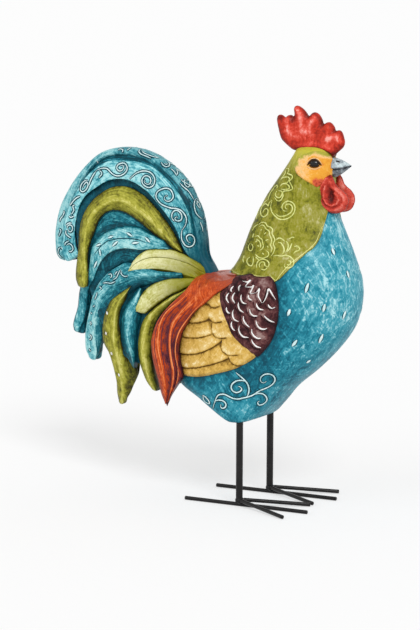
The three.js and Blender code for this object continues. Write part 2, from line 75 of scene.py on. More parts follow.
def sight(pixel):
    """The direction from the lens through a pixel of the photograph."""
    across, down = pixel[0] - PHOTO_WIDTH / 2, pixel[1] - PHOTO_HEIGHT / 2
    return (RIGHT * across - UP * down - BACK * PIXELS_AWAY).normalized()


def spot(pixel, y):
    """The point that a pixel shows where it lies at a given y."""
    line = sight(pixel)
    return LENS_AT + line * ((y - LENS_AT.y) / line.y)


TINY = 1e-9


def clamp(value):
    return min(1.0, max(0.0, value))


def smoothstep(value, low=0.0, high=1.0):
    share = clamp((value - low) / (high - low))
    return share * share * (3 - 2 * share)


def lerp(a, b, share):
    return a + (b - a) * share


def hump(distance, width):
    """A bell: 1 at no distance, and close to 0 at twice the width."""
    return math.exp(-((distance / width) ** 2))


def rounded(points, steps=8, closed=False):
    """A smooth line through points."""
    points = [Vector(p) for p in points]
    if closed:
        ends = [points[-1], *points, points[0], points[1]]
    else:
        ends = [2 * points[0] - points[1], *points, 2 * points[-1] - points[-2]]
    line = []
    for a, b, c, d in zip(ends, ends[1:], ends[2:], ends[3:]):
        square, cube = 2 * a - 5 * b + 4 * c - d, 3 * b - a - 3 * c + d
        for step in range(steps):
            t = step / steps
            line.append(0.5 * (2 * b + (c - a) * t + square * t**2 + cube * t**3))
    if not closed:
        line.append(points[-1])
    return line


def smooth_pixels(pixels, steps=8, closed=False):
    """A smooth line through pixels of the photograph."""
    return rounded([(u, v, 0) for u, v in pixels], steps, closed)


def section_through(points, tones, steps):
    """A smooth section through points, as (point, tone)."""
    blend = rounded([Vector((tone, 0, 0)) for tone in tones], steps)
    return [(point, clamp(shade.x)) for point, shade in zip(rounded(points, steps), blend)]


def evenly(line, count):
    """Points at even distances along a line, with its two ends."""
    reach = [0.0]
    for a, b in zip(line, line[1:]):
        reach.append(reach[-1] + (b - a).length)
    found, at = [], 0
    for step in range(count + 1):
        goal = reach[-1] * step / count
        while at < len(line) - 2 and reach[at + 1] < goal:
            at += 1
        gap = max(reach[at + 1] - reach[at], TINY)
        found.append(line[at].lerp(line[at + 1], min(1.0, (goal - reach[at]) / gap)))
    return found


def value_along(values, share):
    """The value at a share of the way through a list of values."""
    place = share * (len(values) - 1)
    low = min(int(place), len(values) - 2)
    return lerp(values[low], values[low + 1], place - low)


def distance_to(line, x, z):
    """The distance from a side-view point to a side-view line, and where along it and on which side that is.

    The place is a share of the line's steps, and the side a number above or below 0.
    """
    best, where, side = math.inf, 0, 1
    for step, (a, b) in enumerate(zip(line, line[1:])):
        dx, dz = b[0] - a[0], b[1] - a[1]
        share = ((x - a[0]) * dx + (z - a[1]) * dz) / max(dx * dx + dz * dz, TINY)
        share = clamp(share)
        ex, ez = x - a[0] - dx * share, z - a[1] - dz * share
        reach = math.hypot(ex, ez)
        if reach < best:
            best, where, side = reach, (step + share) / (len(line) - 1), dx * ez - dz * ex
    return best, where, side


MERGE_WITHIN = 1e-4


def new_shape():
    """A bmesh whose points carry a tone, 0 in the grooves and 1 on the crests, and a way along and across.
    The tone picks the paint's colour and on many pieces holds painted shade low and painted highlight high.
    """
    shape = bmesh.new()
    shape.verts.layers.float.new("tone")
    shape.verts.layers.float_vector.new("flow")
    return shape


def skin_rows(shape, rows):
    """Rows of (point, tone), each closed on itself, skinned into one closed surface."""
    tone = shape.verts.layers.float["tone"]
    flow = shape.verts.layers.float_vector["flow"]
    around = len(rows[0])
    made = bmesh.ops.create_grid(shape, x_segments=around, y_segments=len(rows) - 1, size=1)["verts"]
    along = 0.0
    for row, points in enumerate(rows):
        if row:
            along += (points[around // 4][0] - rows[row - 1][around // 4][0]).length
        across = 0.0
        for column in range(around + 1):
            point, shade = points[column % around]
            if column:
                across += (point - points[column - 1][0]).length
            vertex = made[row * (around + 1) + column]
            vertex.co = point
            vertex[tone] = shade
            vertex[flow] = (along, across, row / (len(rows) - 1))
    bmesh.ops.remove_doubles(shape, verts=made, dist=MERGE_WITHIN)
    made = [vertex for vertex in made if vertex.is_valid]
    faces = {face for vertex in made for face in vertex.link_faces}
    rims = [edge for edge in {e for v in made for e in v.link_edges} if edge.is_boundary]
    if rims:
        caps = bmesh.ops.holes_fill(shape, edges=rims, sides=0)["faces"]
        faces |= set(caps)
        poked = bmesh.ops.poke(shape, faces=caps, center_mode="MEAN")
        faces = {face for face in faces if face.is_valid} | set(poked["faces"])
    bmesh.ops.recalc_face_normals(shape, faces=list(faces))
    return shape


def tidy_shape(shape):
    bmesh.ops.dissolve_degenerate(shape, edges=shape.edges, dist=MERGE_WITHIN / 10)
    loose = [vertex for vertex in shape.verts if not vertex.link_faces]
    bmesh.ops.delete(shape, geom=loose, context="VERTS")
    bmesh.ops.recalc_face_normals(shape, faces=shape.faces)
    return shape


def mirrored(shape):
    other = shape.copy()
    bmesh.ops.transform(other, matrix=MIRROR, verts=other.verts)
    bmesh.ops.reverse_faces(other, faces=other.faces)
    return other


HOSTS = {}


def add_object(name, data):
    made = bpy.data.objects.new(name, data)
    bpy.context.scene.collection.objects.link(made)
    return made


def piece(name, shape, material, slot, *nodes):
    """A finished piece from a drawn shape, standing for CAD nodes.

    HOSTS keeps its surface for what lies on it.
    """
    HOSTS[name] = BVHTree.FromBMesh(shape)
    bmesh.ops.transform(shape, matrix=PLACE, verts=shape.verts)
    for face in shape.faces:
        face.smooth = True
    mesh = bpy.data.meshes.new(name)
    shape.to_mesh(mesh)
    shape.free()
    mesh.materials.append(material)
    made = add_object(name, mesh)
    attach(made, "root")
    if nodes:
        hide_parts(*nodes)
    return made


def pair(name, shape, material, slot, *nodes):
    """The right-hand piece and its mirror image on the left."""
    piece(f"{name}_left", mirrored(shape), material, slot, *[f"{node}_left" for node in nodes])
    piece(f"{name}_right", shape, material, slot, *[f"{node}_right" for node in nodes])


# Materials
def linear(code):
    """A paint colour in linear light from its hex code."""
    parts = [int(code[at : at + 2], 16) / 255 for at in (0, 2, 4)]
    return tuple(p / 12.92 if p <= 0.04045 else ((p + 0.055) / 1.055) ** 2.4 for p in parts) + (1.0,)


def math_node(tree, operation, a, b=0.5):
    node = tree.nodes.new("ShaderNodeMath")
    node.operation = operation
    for socket, value in zip(node.inputs, (a, b)):
        if isinstance(value, (int, float)):
            socket.default_value = value
        else:
            tree.links.new(value, socket)
    return node.outputs[0]


def noise_node(tree, source, scale, stretch=(1, 1, 1), detail=3.0, distortion=0.0):
    """Noise read along a vector, stretched by the mapping's scale."""
    mapping = tree.nodes.new("ShaderNodeMapping")
    mapping.inputs["Scale"].default_value = stretch
    tree.links.new(source, mapping.inputs["Vector"])
    texture = tree.nodes.new("ShaderNodeTexNoise")
    texture.inputs["Scale"].default_value = scale
    texture.inputs["Detail"].default_value = detail
    texture.inputs["Distortion"].default_value = distortion
    tree.links.new(mapping.outputs["Vector"], texture.inputs["Vector"])
    return texture.outputs["Fac"]


def turned(tree, source, angle):
    """The coordinates turned about the sideways axis, so that strokes read along them slant."""
    mapping = tree.nodes.new("ShaderNodeMapping")
    mapping.inputs["Rotation"].default_value = (0, angle, 0)
    tree.links.new(source, mapping.inputs["Vector"])
    return mapping.outputs["Vector"]


def ramp_node(tree, factor, stops):
    ramp = tree.nodes.new("ShaderNodeValToRGB")
    elements = ramp.color_ramp.elements
    while len(elements) < len(stops):
        elements.new(0.5)
    for element, (place, code) in zip(elements, stops):
        element.position = place
        element.color = linear(code)
    tree.links.new(factor, ramp.inputs["Fac"])
    return ramp.outputs["Color"]


def shader_inputs(material):
    return material.node_tree.nodes["Principled BSDF"].inputs


def smooth_range(tree, value, low, high):
    """0 at low and 1 at high, with a smooth step between them."""
    step = tree.nodes.new("ShaderNodeMapRange")
    step.interpolation_type = "SMOOTHSTEP"
    step.inputs["From Min"].default_value = low
    step.inputs["From Max"].default_value = high
    tree.links.new(value, step.inputs["Value"])
    return step.outputs["Result"]


def mix_node(tree, factor, a, b):
    mix = tree.nodes.new("ShaderNodeMix")
    mix.data_type = "RGBA"
    for socket, value in zip((mix.inputs["Factor"], mix.inputs[6], mix.inputs[7]), (factor, a, b)):
        if isinstance(value, (int, float, tuple)):
            socket.default_value = value
        else:
            tree.links.new(value, socket)
    return mix.outputs[2]


WASH_AND_SHADE_REACH = 0.0035
PAINT_GLOSS = 0.12
GRAIN = 0.3
BLOTCH_SCALE, MOTTLE_SCALE, GRAIN_SCALE, STROKE_SCALE = 75, 300, 850, 1000
SCRATCH_FROM, SCRATCH_TO = 0.53, 0.62
RELIEF_DEPTH = 0.0006


def paint(
    name, stops, blotch=0.9, mottle=0.9, streak=0.9, scratch=0.0, wash=0.5, upright=False, slant=0.0,
    root=None, tip=None, roughness=0.42, bump=0.5,
):
    """Brushed paint over a dark wash that is also painted shade: the tone picks the colour, and blotches,
    streaks and grain break it up.

    scratch lays thin light strokes over the paint, and wash darkens hollows and the seams between parts by
    ambient occlusion, an antique wash and painted shade together. upright turns the strokes from the piece's
    own flow to the vertical. slant turns them from there, scratches one way and streaks the other.
    root and tip are (colour code, share reached) for a colour that fades in.
    """
    material = bpy.data.materials.new(name)
    material.use_nodes = True
    tree = material.node_tree
    shader = shader_inputs(material)
    tone = tree.nodes.new("ShaderNodeAttribute")
    tone.attribute_name = "tone"
    flow = tree.nodes.new("ShaderNodeAttribute")
    flow.attribute_name = "flow"
    place = tree.nodes.new("ShaderNodeTexCoord").outputs["Object"]
    blotches = noise_node(tree, place, BLOTCH_SCALE, detail=4, distortion=0.8)
    mottles = noise_node(tree, place, MOTTLE_SCALE, detail=3, distortion=1.0)
    grains = noise_node(tree, place, GRAIN_SCALE, detail=2)
    if upright:
        down, across = turned(tree, place, -slant), turned(tree, place, slant)
        streaks = noise_node(tree, down, STROKE_SCALE, (0.4, 0.4, 0.09), detail=4, distortion=0.9)
        lines = noise_node(tree, across, STROKE_SCALE, (0.3, 0.42, 0.055), detail=5, distortion=1.5)
    else:
        streaks = noise_node(tree, flow.outputs["Vector"], 1.0, (0.09, 0.8, 0), detail=4, distortion=0.8)
        lines = noise_node(tree, flow.outputs["Vector"], 1.0, (0.07, 0.7, 0), detail=5, distortion=1.5)
    factor = tone.outputs["Fac"]
    for pattern, amount in ((blotches, blotch), (mottles, mottle), (streaks, streak), (grains, GRAIN)):
        swing = math_node(tree, "MULTIPLY", math_node(tree, "SUBTRACT", pattern), amount)
        factor = math_node(tree, "ADD", factor, swing)
    if scratch:
        thin = smooth_range(tree, lines, SCRATCH_FROM, SCRATCH_TO)
        factor = math_node(tree, "ADD", factor, math_node(tree, "MULTIPLY", thin, scratch))
    # Ambient occlusion darkens hollows and the seams between parts: an antique wash and painted shade
    # together.
    if wash:
        hollow = tree.nodes.new("ShaderNodeAmbientOcclusion")
        hollow.samples = 6
        hollow.inputs["Distance"].default_value = WASH_AND_SHADE_REACH
        shade = math_node(tree, "MULTIPLY", math_node(tree, "SUBTRACT", hollow.outputs["AO"], 1.0), wash)
        factor = math_node(tree, "ADD", factor, shade)
    colour = ramp_node(tree, factor, stops)
    share = tree.nodes.new("ShaderNodeSeparateXYZ")
    tree.links.new(flow.outputs["Vector"], share.inputs[0])
    for end, reverse in ((root, False), (tip, True)):
        if end:
            low, high = (1 - end[1], 1) if reverse else (end[1], 0)
            fade = smooth_range(tree, share.outputs["Z"], low, high)
            broken = math_node(tree, "MULTIPLY", fade, math_node(tree, "ADD", streaks, 0.5))
            colour = mix_node(tree, broken, colour, linear(end[0]))
    tree.links.new(colour, shader["Base Color"])
    rough = math_node(tree, "ADD", math_node(tree, "MULTIPLY", mottles, 0.3), roughness - 0.15)
    tree.links.new(rough, shader["Roughness"])
    relief = math_node(
        tree, "ADD", math_node(tree, "MULTIPLY", streaks, 0.7), math_node(tree, "MULTIPLY", mottles, 0.5)
    )
    bumps = tree.nodes.new("ShaderNodeBump")
    bumps.inputs["Strength"].default_value = bump
    bumps.inputs["Distance"].default_value = RELIEF_DEPTH
    tree.links.new(relief, bumps.inputs["Height"])
    tree.links.new(bumps.outputs["Normal"], shader["Normal"])
    shader["Specular IOR Level"].default_value = PAINT_GLOSS
    return material


BODY_TEAL = paint(
    "body_teal",
    [(0.05, "0a4a5c"), (0.28, "12667a"), (0.48, "248397"), (0.68, "469eaf"), (0.98, "a4d6dc")],
    blotch=0.75, mottle=0.5, streak=0.8, scratch=0.24, upright=True, slant=0.6,
)
RIM_TEAL = paint(
    "rim_teal",
    [(0.05, "083f4d"), (0.28, "1d6a79"), (0.5, "428d99"), (0.72, "6cb0b8"), (0.95, "9ccfd2")],
    blotch=0.9, streak=1.2, scratch=0.2, root=("155365", 0.3),
)
PLUME_TEAL = paint(
    "plume_teal",
    [
        (0.03, "053c47"), (0.22, "0b5564"), (0.42, "1b7384"),
        (0.62, "4c9fab"), (0.8, "7cc3cb"), (0.97, "a8dfe2"),
    ],
    blotch=0.7, streak=1.1, scratch=0.2, root=("0f5566", 0.2),
)
COVERT_TEAL = paint(
    "covert_teal",
    [
        (0.03, "053b46"), (0.24, "0d5867"), (0.46, "207987"),
        (0.66, "55a2ac"), (0.84, "86c4c9"), (0.98, "aadbdb"),
    ],
    blotch=0.7, streak=1.1, scratch=0.16,
)
DEEP_TEAL = paint(
    "deep_teal",
    [(0.05, "05353f"), (0.35, "0b5262"), (0.6, "1a6878"), (0.9, "3a838f")],
)
OLIVE = paint(
    "olive",
    [
        (0.02, "3f3b16"), (0.2, "65621c"), (0.42, "88862a"),
        (0.62, "a4a13c"), (0.8, "b4b04c"), (0.97, "cfca72"),
    ],
    blotch=1.0, streak=1.0,
)
NECK_OLIVE = paint(
    "neck_olive",
    [
        (0.03, "484a12"), (0.25, "6b6c17"), (0.46, "888724"),
        (0.64, "95913c"), (0.8, "a3a05e"), (0.97, "bfba82"),
    ],
    blotch=1.4, mottle=0.8, streak=0.8, scratch=0.16, upright=True, tip=("bdb53c", 0.2),
)
LEAF_CREAM = paint(
    "leaf_cream",
    [(0.02, "5d5a18"), (0.25, "918f33"), (0.45, "b7b562"), (0.65, "d0cf8d"), (0.92, "e6e5b2")],
    blotch=0.6, streak=0.8, root=("87861c", 0.75),
)
SADDLE_ORANGE = paint(
    "saddle_orange",
    [
        (0.02, "401a28"), (0.2, "6a2e32"), (0.38, "8f3519"),
        (0.56, "b03f13"), (0.74, "c54d18"), (0.95, "df7a45"),
    ],
    blotch=0.8, mottle=0.7, streak=1.1, scratch=0.16, root=("a04a34", 0.2), roughness=0.34,
)
WING_OCHRE = paint(
    "wing_ochre",
    [
        (0.02, "644617"), (0.2, "8f6d28"), (0.4, "bd9543"),
        (0.6, "d4ac55"), (0.8, "e0bf78"), (0.97, "f0dca6"),
    ],
    blotch=1.0, mottle=0.9, streak=0.5,
)
SHOULDER_MAROON = paint(
    "shoulder_maroon",
    [(0.05, "1c0b0e"), (0.32, "35161a"), (0.55, "4e282a"), (0.75, "6e4644"), (0.97, "957a76")],
    blotch=1.5, mottle=0.9, streak=0.3,
)
COMB_RED = paint(
    "comb_red",
    [
        (0.03, "611712"), (0.25, "9a281d"), (0.48, "c03524"),
        (0.64, "d54938"), (0.8, "e56d60"), (0.98, "f4a096"),
    ],
    blotch=0.8, mottle=0.8, streak=0.3, roughness=0.34,
)


# The body's skin, as level slices: height, back, front, half width and squareness
SLICES = [
    (64, -12, 4, 29, 3.4), (66, -17, 9, 31, 3.2), (71, -27, 15, 33, 2.8), (79, -41, 23, 35, 2.5),
    (90, -59, 33, 37.5, 2.4), (104, -65, 50, 40, 2.3), (120, -66, 66, 41.5, 2.3), (136, -65, 78, 42, 2.3),
    (150, -60, 83, 42, 2.3), (161, -50, 84.5, 41.5, 2.3), (169, -34, 84, 40.5, 2.25),
    (175, -18, 83, 39, 2.2), (183, -11, 80.5, 36.5, 2.15), (196, -6.5, 76, 32, 2.1),
    (209, -2, 71, 27, 2.05), (222, 4, 66, 22.5, 2), (234, 10.5, 63, 19, 2), (246, 19, 63.5, 16.5, 2),
    (256, 26, 64, 14.5, 2), (264, 31.3, 62.3, 12.3, 2.1), (268.4, 34.2, 59.5, 9.5, 2.2),
    (270.8, 39, 55, 5, 2.1),
]
DRAPE_SLICES = [
    (64, -84, 40, 38, 2), (80, -90, 60, 42, 2.1), (100, -96, 75, 45, 2.2), (125, -97, 84, 46, 2.2),
    (145, -88, 88, 46, 2.2), (160, -70, 88, 45.5, 2.2), (170.4, -44, 88, 44.5, 2.2),
    (172.7, -31, 87.5, 43.6, 2.2), (173.9, -20, 87, 43, 2.2), (183, -12.6, 84, 40, 2.2),
    (196, -9, 80, 35, 2.1),
]
SLICE_STEPS = 8


class Skin:
    """A level-sliced surface that gives its point at a height and an angle."""

    def __init__(self, slices):
        sizes = []
        for _, back, front, half, power in slices:
            sizes.append(((back + front) / 2, (front - back) / 2, half, power))
        self.sizes = rounded(sizes, SLICE_STEPS)
        self.levels = [v.x for v in rounded([Vector((s[0], 0, 0)) for s in slices], SLICE_STEPS)]

    def size(self, z):
        z = min(self.levels[-1], max(self.levels[0], z))
        low = 0
        while low < len(self.levels) - 2 and self.levels[low + 1] < z:
            low += 1
        share = (z - self.levels[low]) / max(self.levels[low + 1] - self.levels[low], TINY)
        return self.sizes[low].lerp(self.sizes[low + 1], share)

    def point(self, z, angle):
        middle, half, width, power = self.size(z)
        c, s = math.cos(angle), math.sin(angle)
        x = middle + half * math.copysign(abs(c) ** (2 / power), c)
        return Vector((x, width * math.copysign(abs(s) ** (2 / power), s), z))


BIRD = Skin(SLICES)
DRAPE = Skin(DRAPE_SLICES)
CROWN = SLICES[-1][0]
BELLY = SLICES[0][0]

# The cape's lower edge in side view: the neck is above it
CAPE = [
    (-45, 180), (0, 175.7), (23.5, 175.7), (33.5, 171.5), (41, 179.5), (54, 194.5), (59.3, 199.5),
    (61.8, 206), (62.2, 213), (62.4, 224), (62.8, 237), (95, 245),
]


def height_on(line, x):
    """The height of a line of (x, z) points at an x."""
    for (ax, az), (bx, bz) in zip(line, line[1:]):
        if x <= bx:
            return lerp(az, bz, (x - ax) / (bx - ax))
    return line[-1][1]


def cape_edge(angle):
    """The height at which the cape's edge crosses the skin at an angle, found from the crown down."""
    z = CROWN - 1
    while z > BELLY and z > height_on(CAPE, BIRD.point(z, angle).x):
        z -= 0.5
    return z


AROUND = 180
NECK_ROWS, BODY_ROWS = 150, 170
CAPE_LIP = 0.9
LIP_ROWS = 3  # rows that turn in under the cape's edge


def outward(z, angle):
    """The skin's outward direction."""
    along = BIRD.point(z, angle + 0.02) - BIRD.point(z, angle - 0.02)
    up = BIRD.point(z + 0.6, angle) - BIRD.point(z - 0.6, angle)
    return along.cross(up).normalized()


def body_and_neck():
    """The body up to the cape, and the neck and head from the cape's lip to the crown."""
    angles = [math.tau * (column + 0.5) / AROUND for column in range(AROUND)]
    edges = [cape_edge(angle) for angle in angles]
    edges = [(edges[i - 1] + 2 * edges[i] + edges[(i + 1) % AROUND]) / 4 for i in range(AROUND)]
    body_rows = []
    for row in range(BODY_ROWS + 1):
        share = row / BODY_ROWS
        points = []
        for angle, edge in zip(angles, edges):
            z = lerp(BELLY, edge + 1.5, share ** 0.9)
            point = BIRD.point(z, angle)
            points.append((point, body_tone(point)))
        body_rows.append(points)
    body = skin_rows(new_shape(), body_rows)
    neck_rows = []
    for row in range(-LIP_ROWS, NECK_ROWS + 1):
        share = max(0.0, row / NECK_ROWS)
        points = []
        for angle, edge in zip(angles, edges):
            z = lerp(edge, CROWN, share)
            rise = z - edge
            lift = CAPE_LIP * (1 - smoothstep(rise, 3, 16)) + 0.1
            if row < 0:
                lift *= (LIP_ROWS + row) / LIP_ROWS * 0.9
                z = edge - 0.25 + 0.1 * row
                lift -= 0.25 * (row == -LIP_ROWS)
            point = BIRD.point(z, angle) + outward(max(z, BELLY + 1), angle) * lift
            # The neck is paler towards its front and its crown, and the row just above the cape's edge is a
            # painted highlight along its lip.
            front = smoothstep(math.cos(angle), -0.9, 0.35)
            crown = smoothstep(z, 255, 266)
            tone = 0.32 + 0.18 * front + 0.14 * crown
            points.append((point, 0.8 if 0 < rise < 0.9 else tone))
        neck_rows.append(points)
    neck = skin_rows(new_shape(), neck_rows)
    return body, neck


def body_tone(point):
    """The body's paint is darker beside the wing, the shoulder and the cape, which is painted shade, and
    paler towards the breast.
    """
    near, _, _ = distance_to(WING_EDGE, point.x, point.z)
    # painted shade beside the raised wing
    shade_beside = 0.3 * math.exp(-near / 8) if abs(point.y) > 15 else 0
    front = 0.2 * smoothstep(point.x, 20, 65) * smoothstep(point.z, 100, 165)
    return 0.44 + front - shade_beside


WING_EDGE = [
    (30, 125), (22, 118), (13, 111), (0, 105), (-19, 100), (-51, 97), (-54, 113), (-49, 126), (1, 98),
    (13, 104), (30, 117), (40, 138), (43, 155), (40, 168),
]

body_shape, neck_shape = body_and_neck()
piece("body", body_shape, BODY_TEAL, "teal_paint", "body_casting")
piece("neck", neck_shape, NECK_OLIVE, "olive_paint", "neck_and_head")


# The tail. A plume is drawn by rails in the photograph, from root to tip
CORE_LOW, CORE_TOP = 102, 264
CORE_LOW_HALF, CORE_TOP_HALF = 15, 6
PLUME_STAND = 5.5
LEAN_FROM = 0.45
SINK = 2
MIDDLE_GAP = 0.2
BACK_SHARE = 0.7
TAIL_SIDE = -12  # a y near the plumes' fronts, to find their heights by


def core_half(z):
    return lerp(CORE_LOW_HALF, CORE_TOP_HALF, (z - CORE_LOW) / (CORE_TOP - CORE_LOW))


def plume_front(z, share, free):
    """The y of a plume's front, which leans in to the depth of a free tip."""
    lean = smoothstep(share, LEAN_FROM, 1) if free else 0
    return -lerp(core_half(z) + PLUME_STAND, free, lean)


def plume_back(z, share, free):
    lean = smoothstep(share, LEAN_FROM, 0.8) if free else 0
    return -lerp(core_half(z) - SINK, MIDDLE_GAP, lean)


def rail_point(pixel, share, free, sunk):
    """A rail's point, at the depth of the plume's front there, or as much behind it as it is sunk."""
    z = spot(pixel, TAIL_SIDE).z
    return spot(pixel, plume_front(z, share, free) + sunk)


PLUME_STEPS = 110
SPAN_STEPS = 5
DOME_STEPS = 5
RAIL_STEPS = 24
RAIL_DEPTHS = 9
# the backs of the plumes and of the saddle are painted dark: painted shade
BACK_SHADE_TONE = 0.1


def plume(rails, free=0.0, dome=3.0):
    """A plume through rails of (pixels, sunk, tone). A rail without pixels drops straight back from the last.

    free is the depth of a tip that stands clear of the tail's core, or 0 for a tip that lies on it.
    """
    lines, tones = [], []
    for pixels, sunk, tone in rails:
        if pixels is None:
            line = [Vector((p.x, p.y + sunk, p.z)) for p in lines[-1]]
        else:
            depths = sunk if isinstance(sunk, tuple) else (sunk, sunk)
            line = []
            for step, pixel in enumerate(evenly(smooth_pixels(pixels), PLUME_STEPS)):
                share = step / PLUME_STEPS
                line.append(rail_point(pixel, share, free, value_along(depths, share)))
        if free and len(lines) in (0, len(rails) - 1):
            for step, point in enumerate(line):
                near = smoothstep(step / PLUME_STEPS, 0.5, 0.85)
                point.y = lerp(point.y, -MIDDLE_GAP, near)
        lines.append(line)
        tones.append(tone if isinstance(tone, tuple) else (tone, tone))
    rows = []
    for step in range(PLUME_STEPS + 1):
        share = step / PLUME_STEPS
        front = [line[step] for line in lines]
        behind = []
        for point in (front[-1], front[0]):
            back = max(plume_back(point.z, share, free), point.y * BACK_SHARE)
            behind.append(Vector((point.x, back, point.z)))
        row = section_through(front, [value_along(tone, share) for tone in tones], SPAN_STEPS)
        row += [(point, BACK_SHADE_TONE) for point in (behind[0], (behind[0] + behind[1]) / 2, behind[1])]
        rows.append(row)
    last, before = rows[-1], rows[-4]
    middle = sum((p for p, _ in last), Vector()) / len(last)
    ahead = (middle - sum((p for p, _ in before), Vector()) / len(before)).normalized()
    for step in range(1, DOME_STEPS + 1):
        turn = math.pi / 2 * step / DOME_STEPS
        size = max(0.03, math.cos(turn))
        push = ahead * dome * math.sin(turn)
        rows.append([(middle + (p - middle) * size + push, t) for p, t in last])
    return skin_rows(new_shape(), rows)


# Rails of the upper sickle: the groove beside the rim, both edges of its pale face, and the olive's edge
SICKLE_GROOVE = [
    (213, 270), (210.5, 262), (207, 251), (203.5, 238), (200.5, 228), (197.5, 218), (194, 208),
    (189.5, 199), (184, 190), (178, 182), (171, 174.5), (162.5, 167.5), (153.5, 161.5), (144.5, 157.5),
    (135.5, 155.3), (126.5, 154.5), (117.5, 154.3), (109.5, 155.5), (102, 158.5), (96, 163), (91.5, 169.5),
    (88.5, 176), (84.5, 184), (79, 191), (74.5, 198.5), (70.5, 207), (67.8, 216), (65.8, 226), (64.5, 236),
    (64, 246), (64.5, 254), (66, 259),
]
SICKLE_OUTER = [
    (210.5, 270), (206, 262), (199.5, 250), (194, 240), (191.5, 231), (190, 222), (187.5, 213), (184, 205),
    (179.5, 197), (174.5, 189.5), (168.5, 182), (161.5, 175), (153.5, 169), (145, 165), (136, 162.7),
    (127, 161.7), (118, 161.3), (110, 161.8), (103, 164.5), (97, 168.5), (91, 172.5), (86, 177.5),
    (81.5, 184), (77, 191), (73, 198.5), (69, 207), (66.3, 216), (64.3, 226), (63, 236), (62.3, 246),
    (63, 254), (66, 259.5),
]
SICKLE_INNER = [
    (203, 270), (193, 261), (184.5, 250), (181, 242), (178, 234), (174, 226), (169, 218), (163, 210),
    (157, 202.5), (151, 195.5), (144, 189), (136, 183.5), (128, 180), (119, 178.8), (111, 179.8),
    (104, 182.5), (97, 187), (91, 191), (86, 195.5), (82, 201), (79, 208), (77, 216), (75.5, 225),
    (75, 234), (76, 244), (78.5, 253),
]
OLIVE_OUTER = [
    (183, 252), (180, 245), (176, 237), (172, 230), (167, 222.5), (161, 214.5), (155, 207), (148, 199.5),
    (140, 193), (131, 188), (122, 186.2), (113, 187), (105, 190.5), (98, 195.5), (92, 201), (87, 207.5),
    (83.5, 214), (81, 221), (79.5, 229), (78.5, 238), (78.5, 247), (77.5, 256), (76.5, 264), (75.8, 272),
    (76, 279), (77.5, 284),
]
OLIVE_CREST = [
    (181, 251), (175, 246), (170, 240.5), (164, 234), (158, 228.5), (152, 222), (146, 216), (140, 211),
    (133, 206), (126, 202), (118, 199.5), (110, 200.5), (105, 203.5), (100, 206.5), (96, 210), (92, 214.5),
    (89, 220), (87, 226), (85.5, 232), (84.5, 240), (84.3, 250), (84.5, 260), (85, 272), (84, 284),
]
OLIVE_INNER = [
    (182, 254), (170, 247), (163, 242), (156, 236), (149, 230), (142, 224), (135, 218.5), (128, 214),
    (121, 211), (114, 210), (108, 211.5), (103, 215), (99, 220), (96.5, 226), (94.5, 232), (92, 238),
    (90, 245), (88.5, 252), (88, 262), (89, 272), (88.5, 283),
]
LEAFY_TOP = [
    (164, 242), (150, 236), (142, 231.5), (133, 229.5), (124, 229.5), (115, 231), (107, 234.5),
    (101, 238.5), (97, 243), (93, 249), (91, 256), (90, 265), (87, 275), (82, 284), (79.5, 297),
    (78.5, 307), (76, 316), (74, 324), (75, 328),
]
WEB_TOP = [
    (176, 250), (163, 243.5), (156, 237.5), (149, 231.5), (142, 225.5), (135, 220), (128, 215.5),
    (121, 212.5), (114, 211.5), (108, 213), (103.5, 216.5), (99.5, 221.5), (97, 227), (94.5, 233),
    (92.5, 239), (90.5, 246), (89, 253), (87.5, 262), (85, 273), (80.5, 284), (78.5, 297), (77.5, 307),
    (75, 316), (73.4, 324), (74, 328),
]
WEB_LOW = [
    (166, 241), (151, 233.5), (143, 228.5), (134, 226), (124, 225.8), (114, 227.5), (106, 231), (99.5, 235),
    (95.5, 240), (91.5, 247), (89.8, 256), (88, 265), (86, 274), (81.3, 284), (79, 297), (78, 307),
    (75.5, 316), (73.6, 324), (74.5, 328),
]
LEAFY_LOW = [
    (166, 249), (150, 248.8), (140, 249.2), (133, 248.5), (124, 247.8), (115, 249.5), (108, 253),
    (103, 258), (99, 264), (96, 271), (93, 279), (88.5, 288), (86.5, 300), (85.5, 310), (83.5, 319),
    (80, 327),
]
SCROLLED_OUTER = [
    (182, 272), (160, 271.5), (140, 266), (127, 263), (120, 266), (113, 270), (107, 274.5), (101, 281),
    (97, 287), (93.5, 294), (91, 302), (89, 312), (87, 322), (85.5, 332), (85.5, 342), (86.5, 350),
    (89, 356),
]
SCROLLED_RIDGE = [
    (182, 274), (150, 275.5), (135, 276.5), (128, 276.5), (122, 279), (116, 281.5), (110, 284.5),
    (105, 288.5), (101, 295), (98, 303), (96, 312), (94.5, 322), (94, 332), (95, 342), (96, 350),
    (95.5, 357),
]
SCROLLED_LOW = [
    (184, 281), (165, 283), (150, 285), (138, 288), (130, 293), (124, 297), (118, 302), (113, 307),
    (109.5, 313), (106, 321), (104, 330), (103, 340), (101, 346), (100, 352), (98, 356),
]
COVERT_OUTER = [
    (131, 286), (124, 290), (117, 294.5), (111, 300), (107.5, 307), (104.5, 315), (102.8, 325),
    (102.5, 335), (103.5, 343), (106, 351), (109, 361), (112, 371), (115, 382), (117, 392), (119, 400),
]
COVERT_CREST = [
    (131, 286), (126, 293), (120, 300), (117, 307), (115, 315), (113.5, 325), (113.5, 335), (114.5, 345),
    (117, 355), (119.5, 365), (121, 378), (122, 390), (122, 401),
]
COVERT_INNER = [
    (131, 286), (128, 292), (125, 300), (121, 307), (119, 315), (118.5, 325), (120, 335), (122, 345),
    (126, 354), (129, 361), (132, 367), (134.5, 373), (134, 379), (132, 386), (130, 393), (126, 400),
]
SHORT_LEFT = [
    (139, 287), (133, 294), (127, 303), (122.5, 312), (121, 320), (120.5, 330), (121, 340), (123, 348),
    (126, 355), (129.5, 361.5), (133, 367),
]
SHORT_PALE_LEFT = [
    (140, 288), (136, 295), (131, 303), (126, 313), (124.5, 325), (125.5, 335), (128, 345), (131.5, 357),
    (133.4, 367),
]
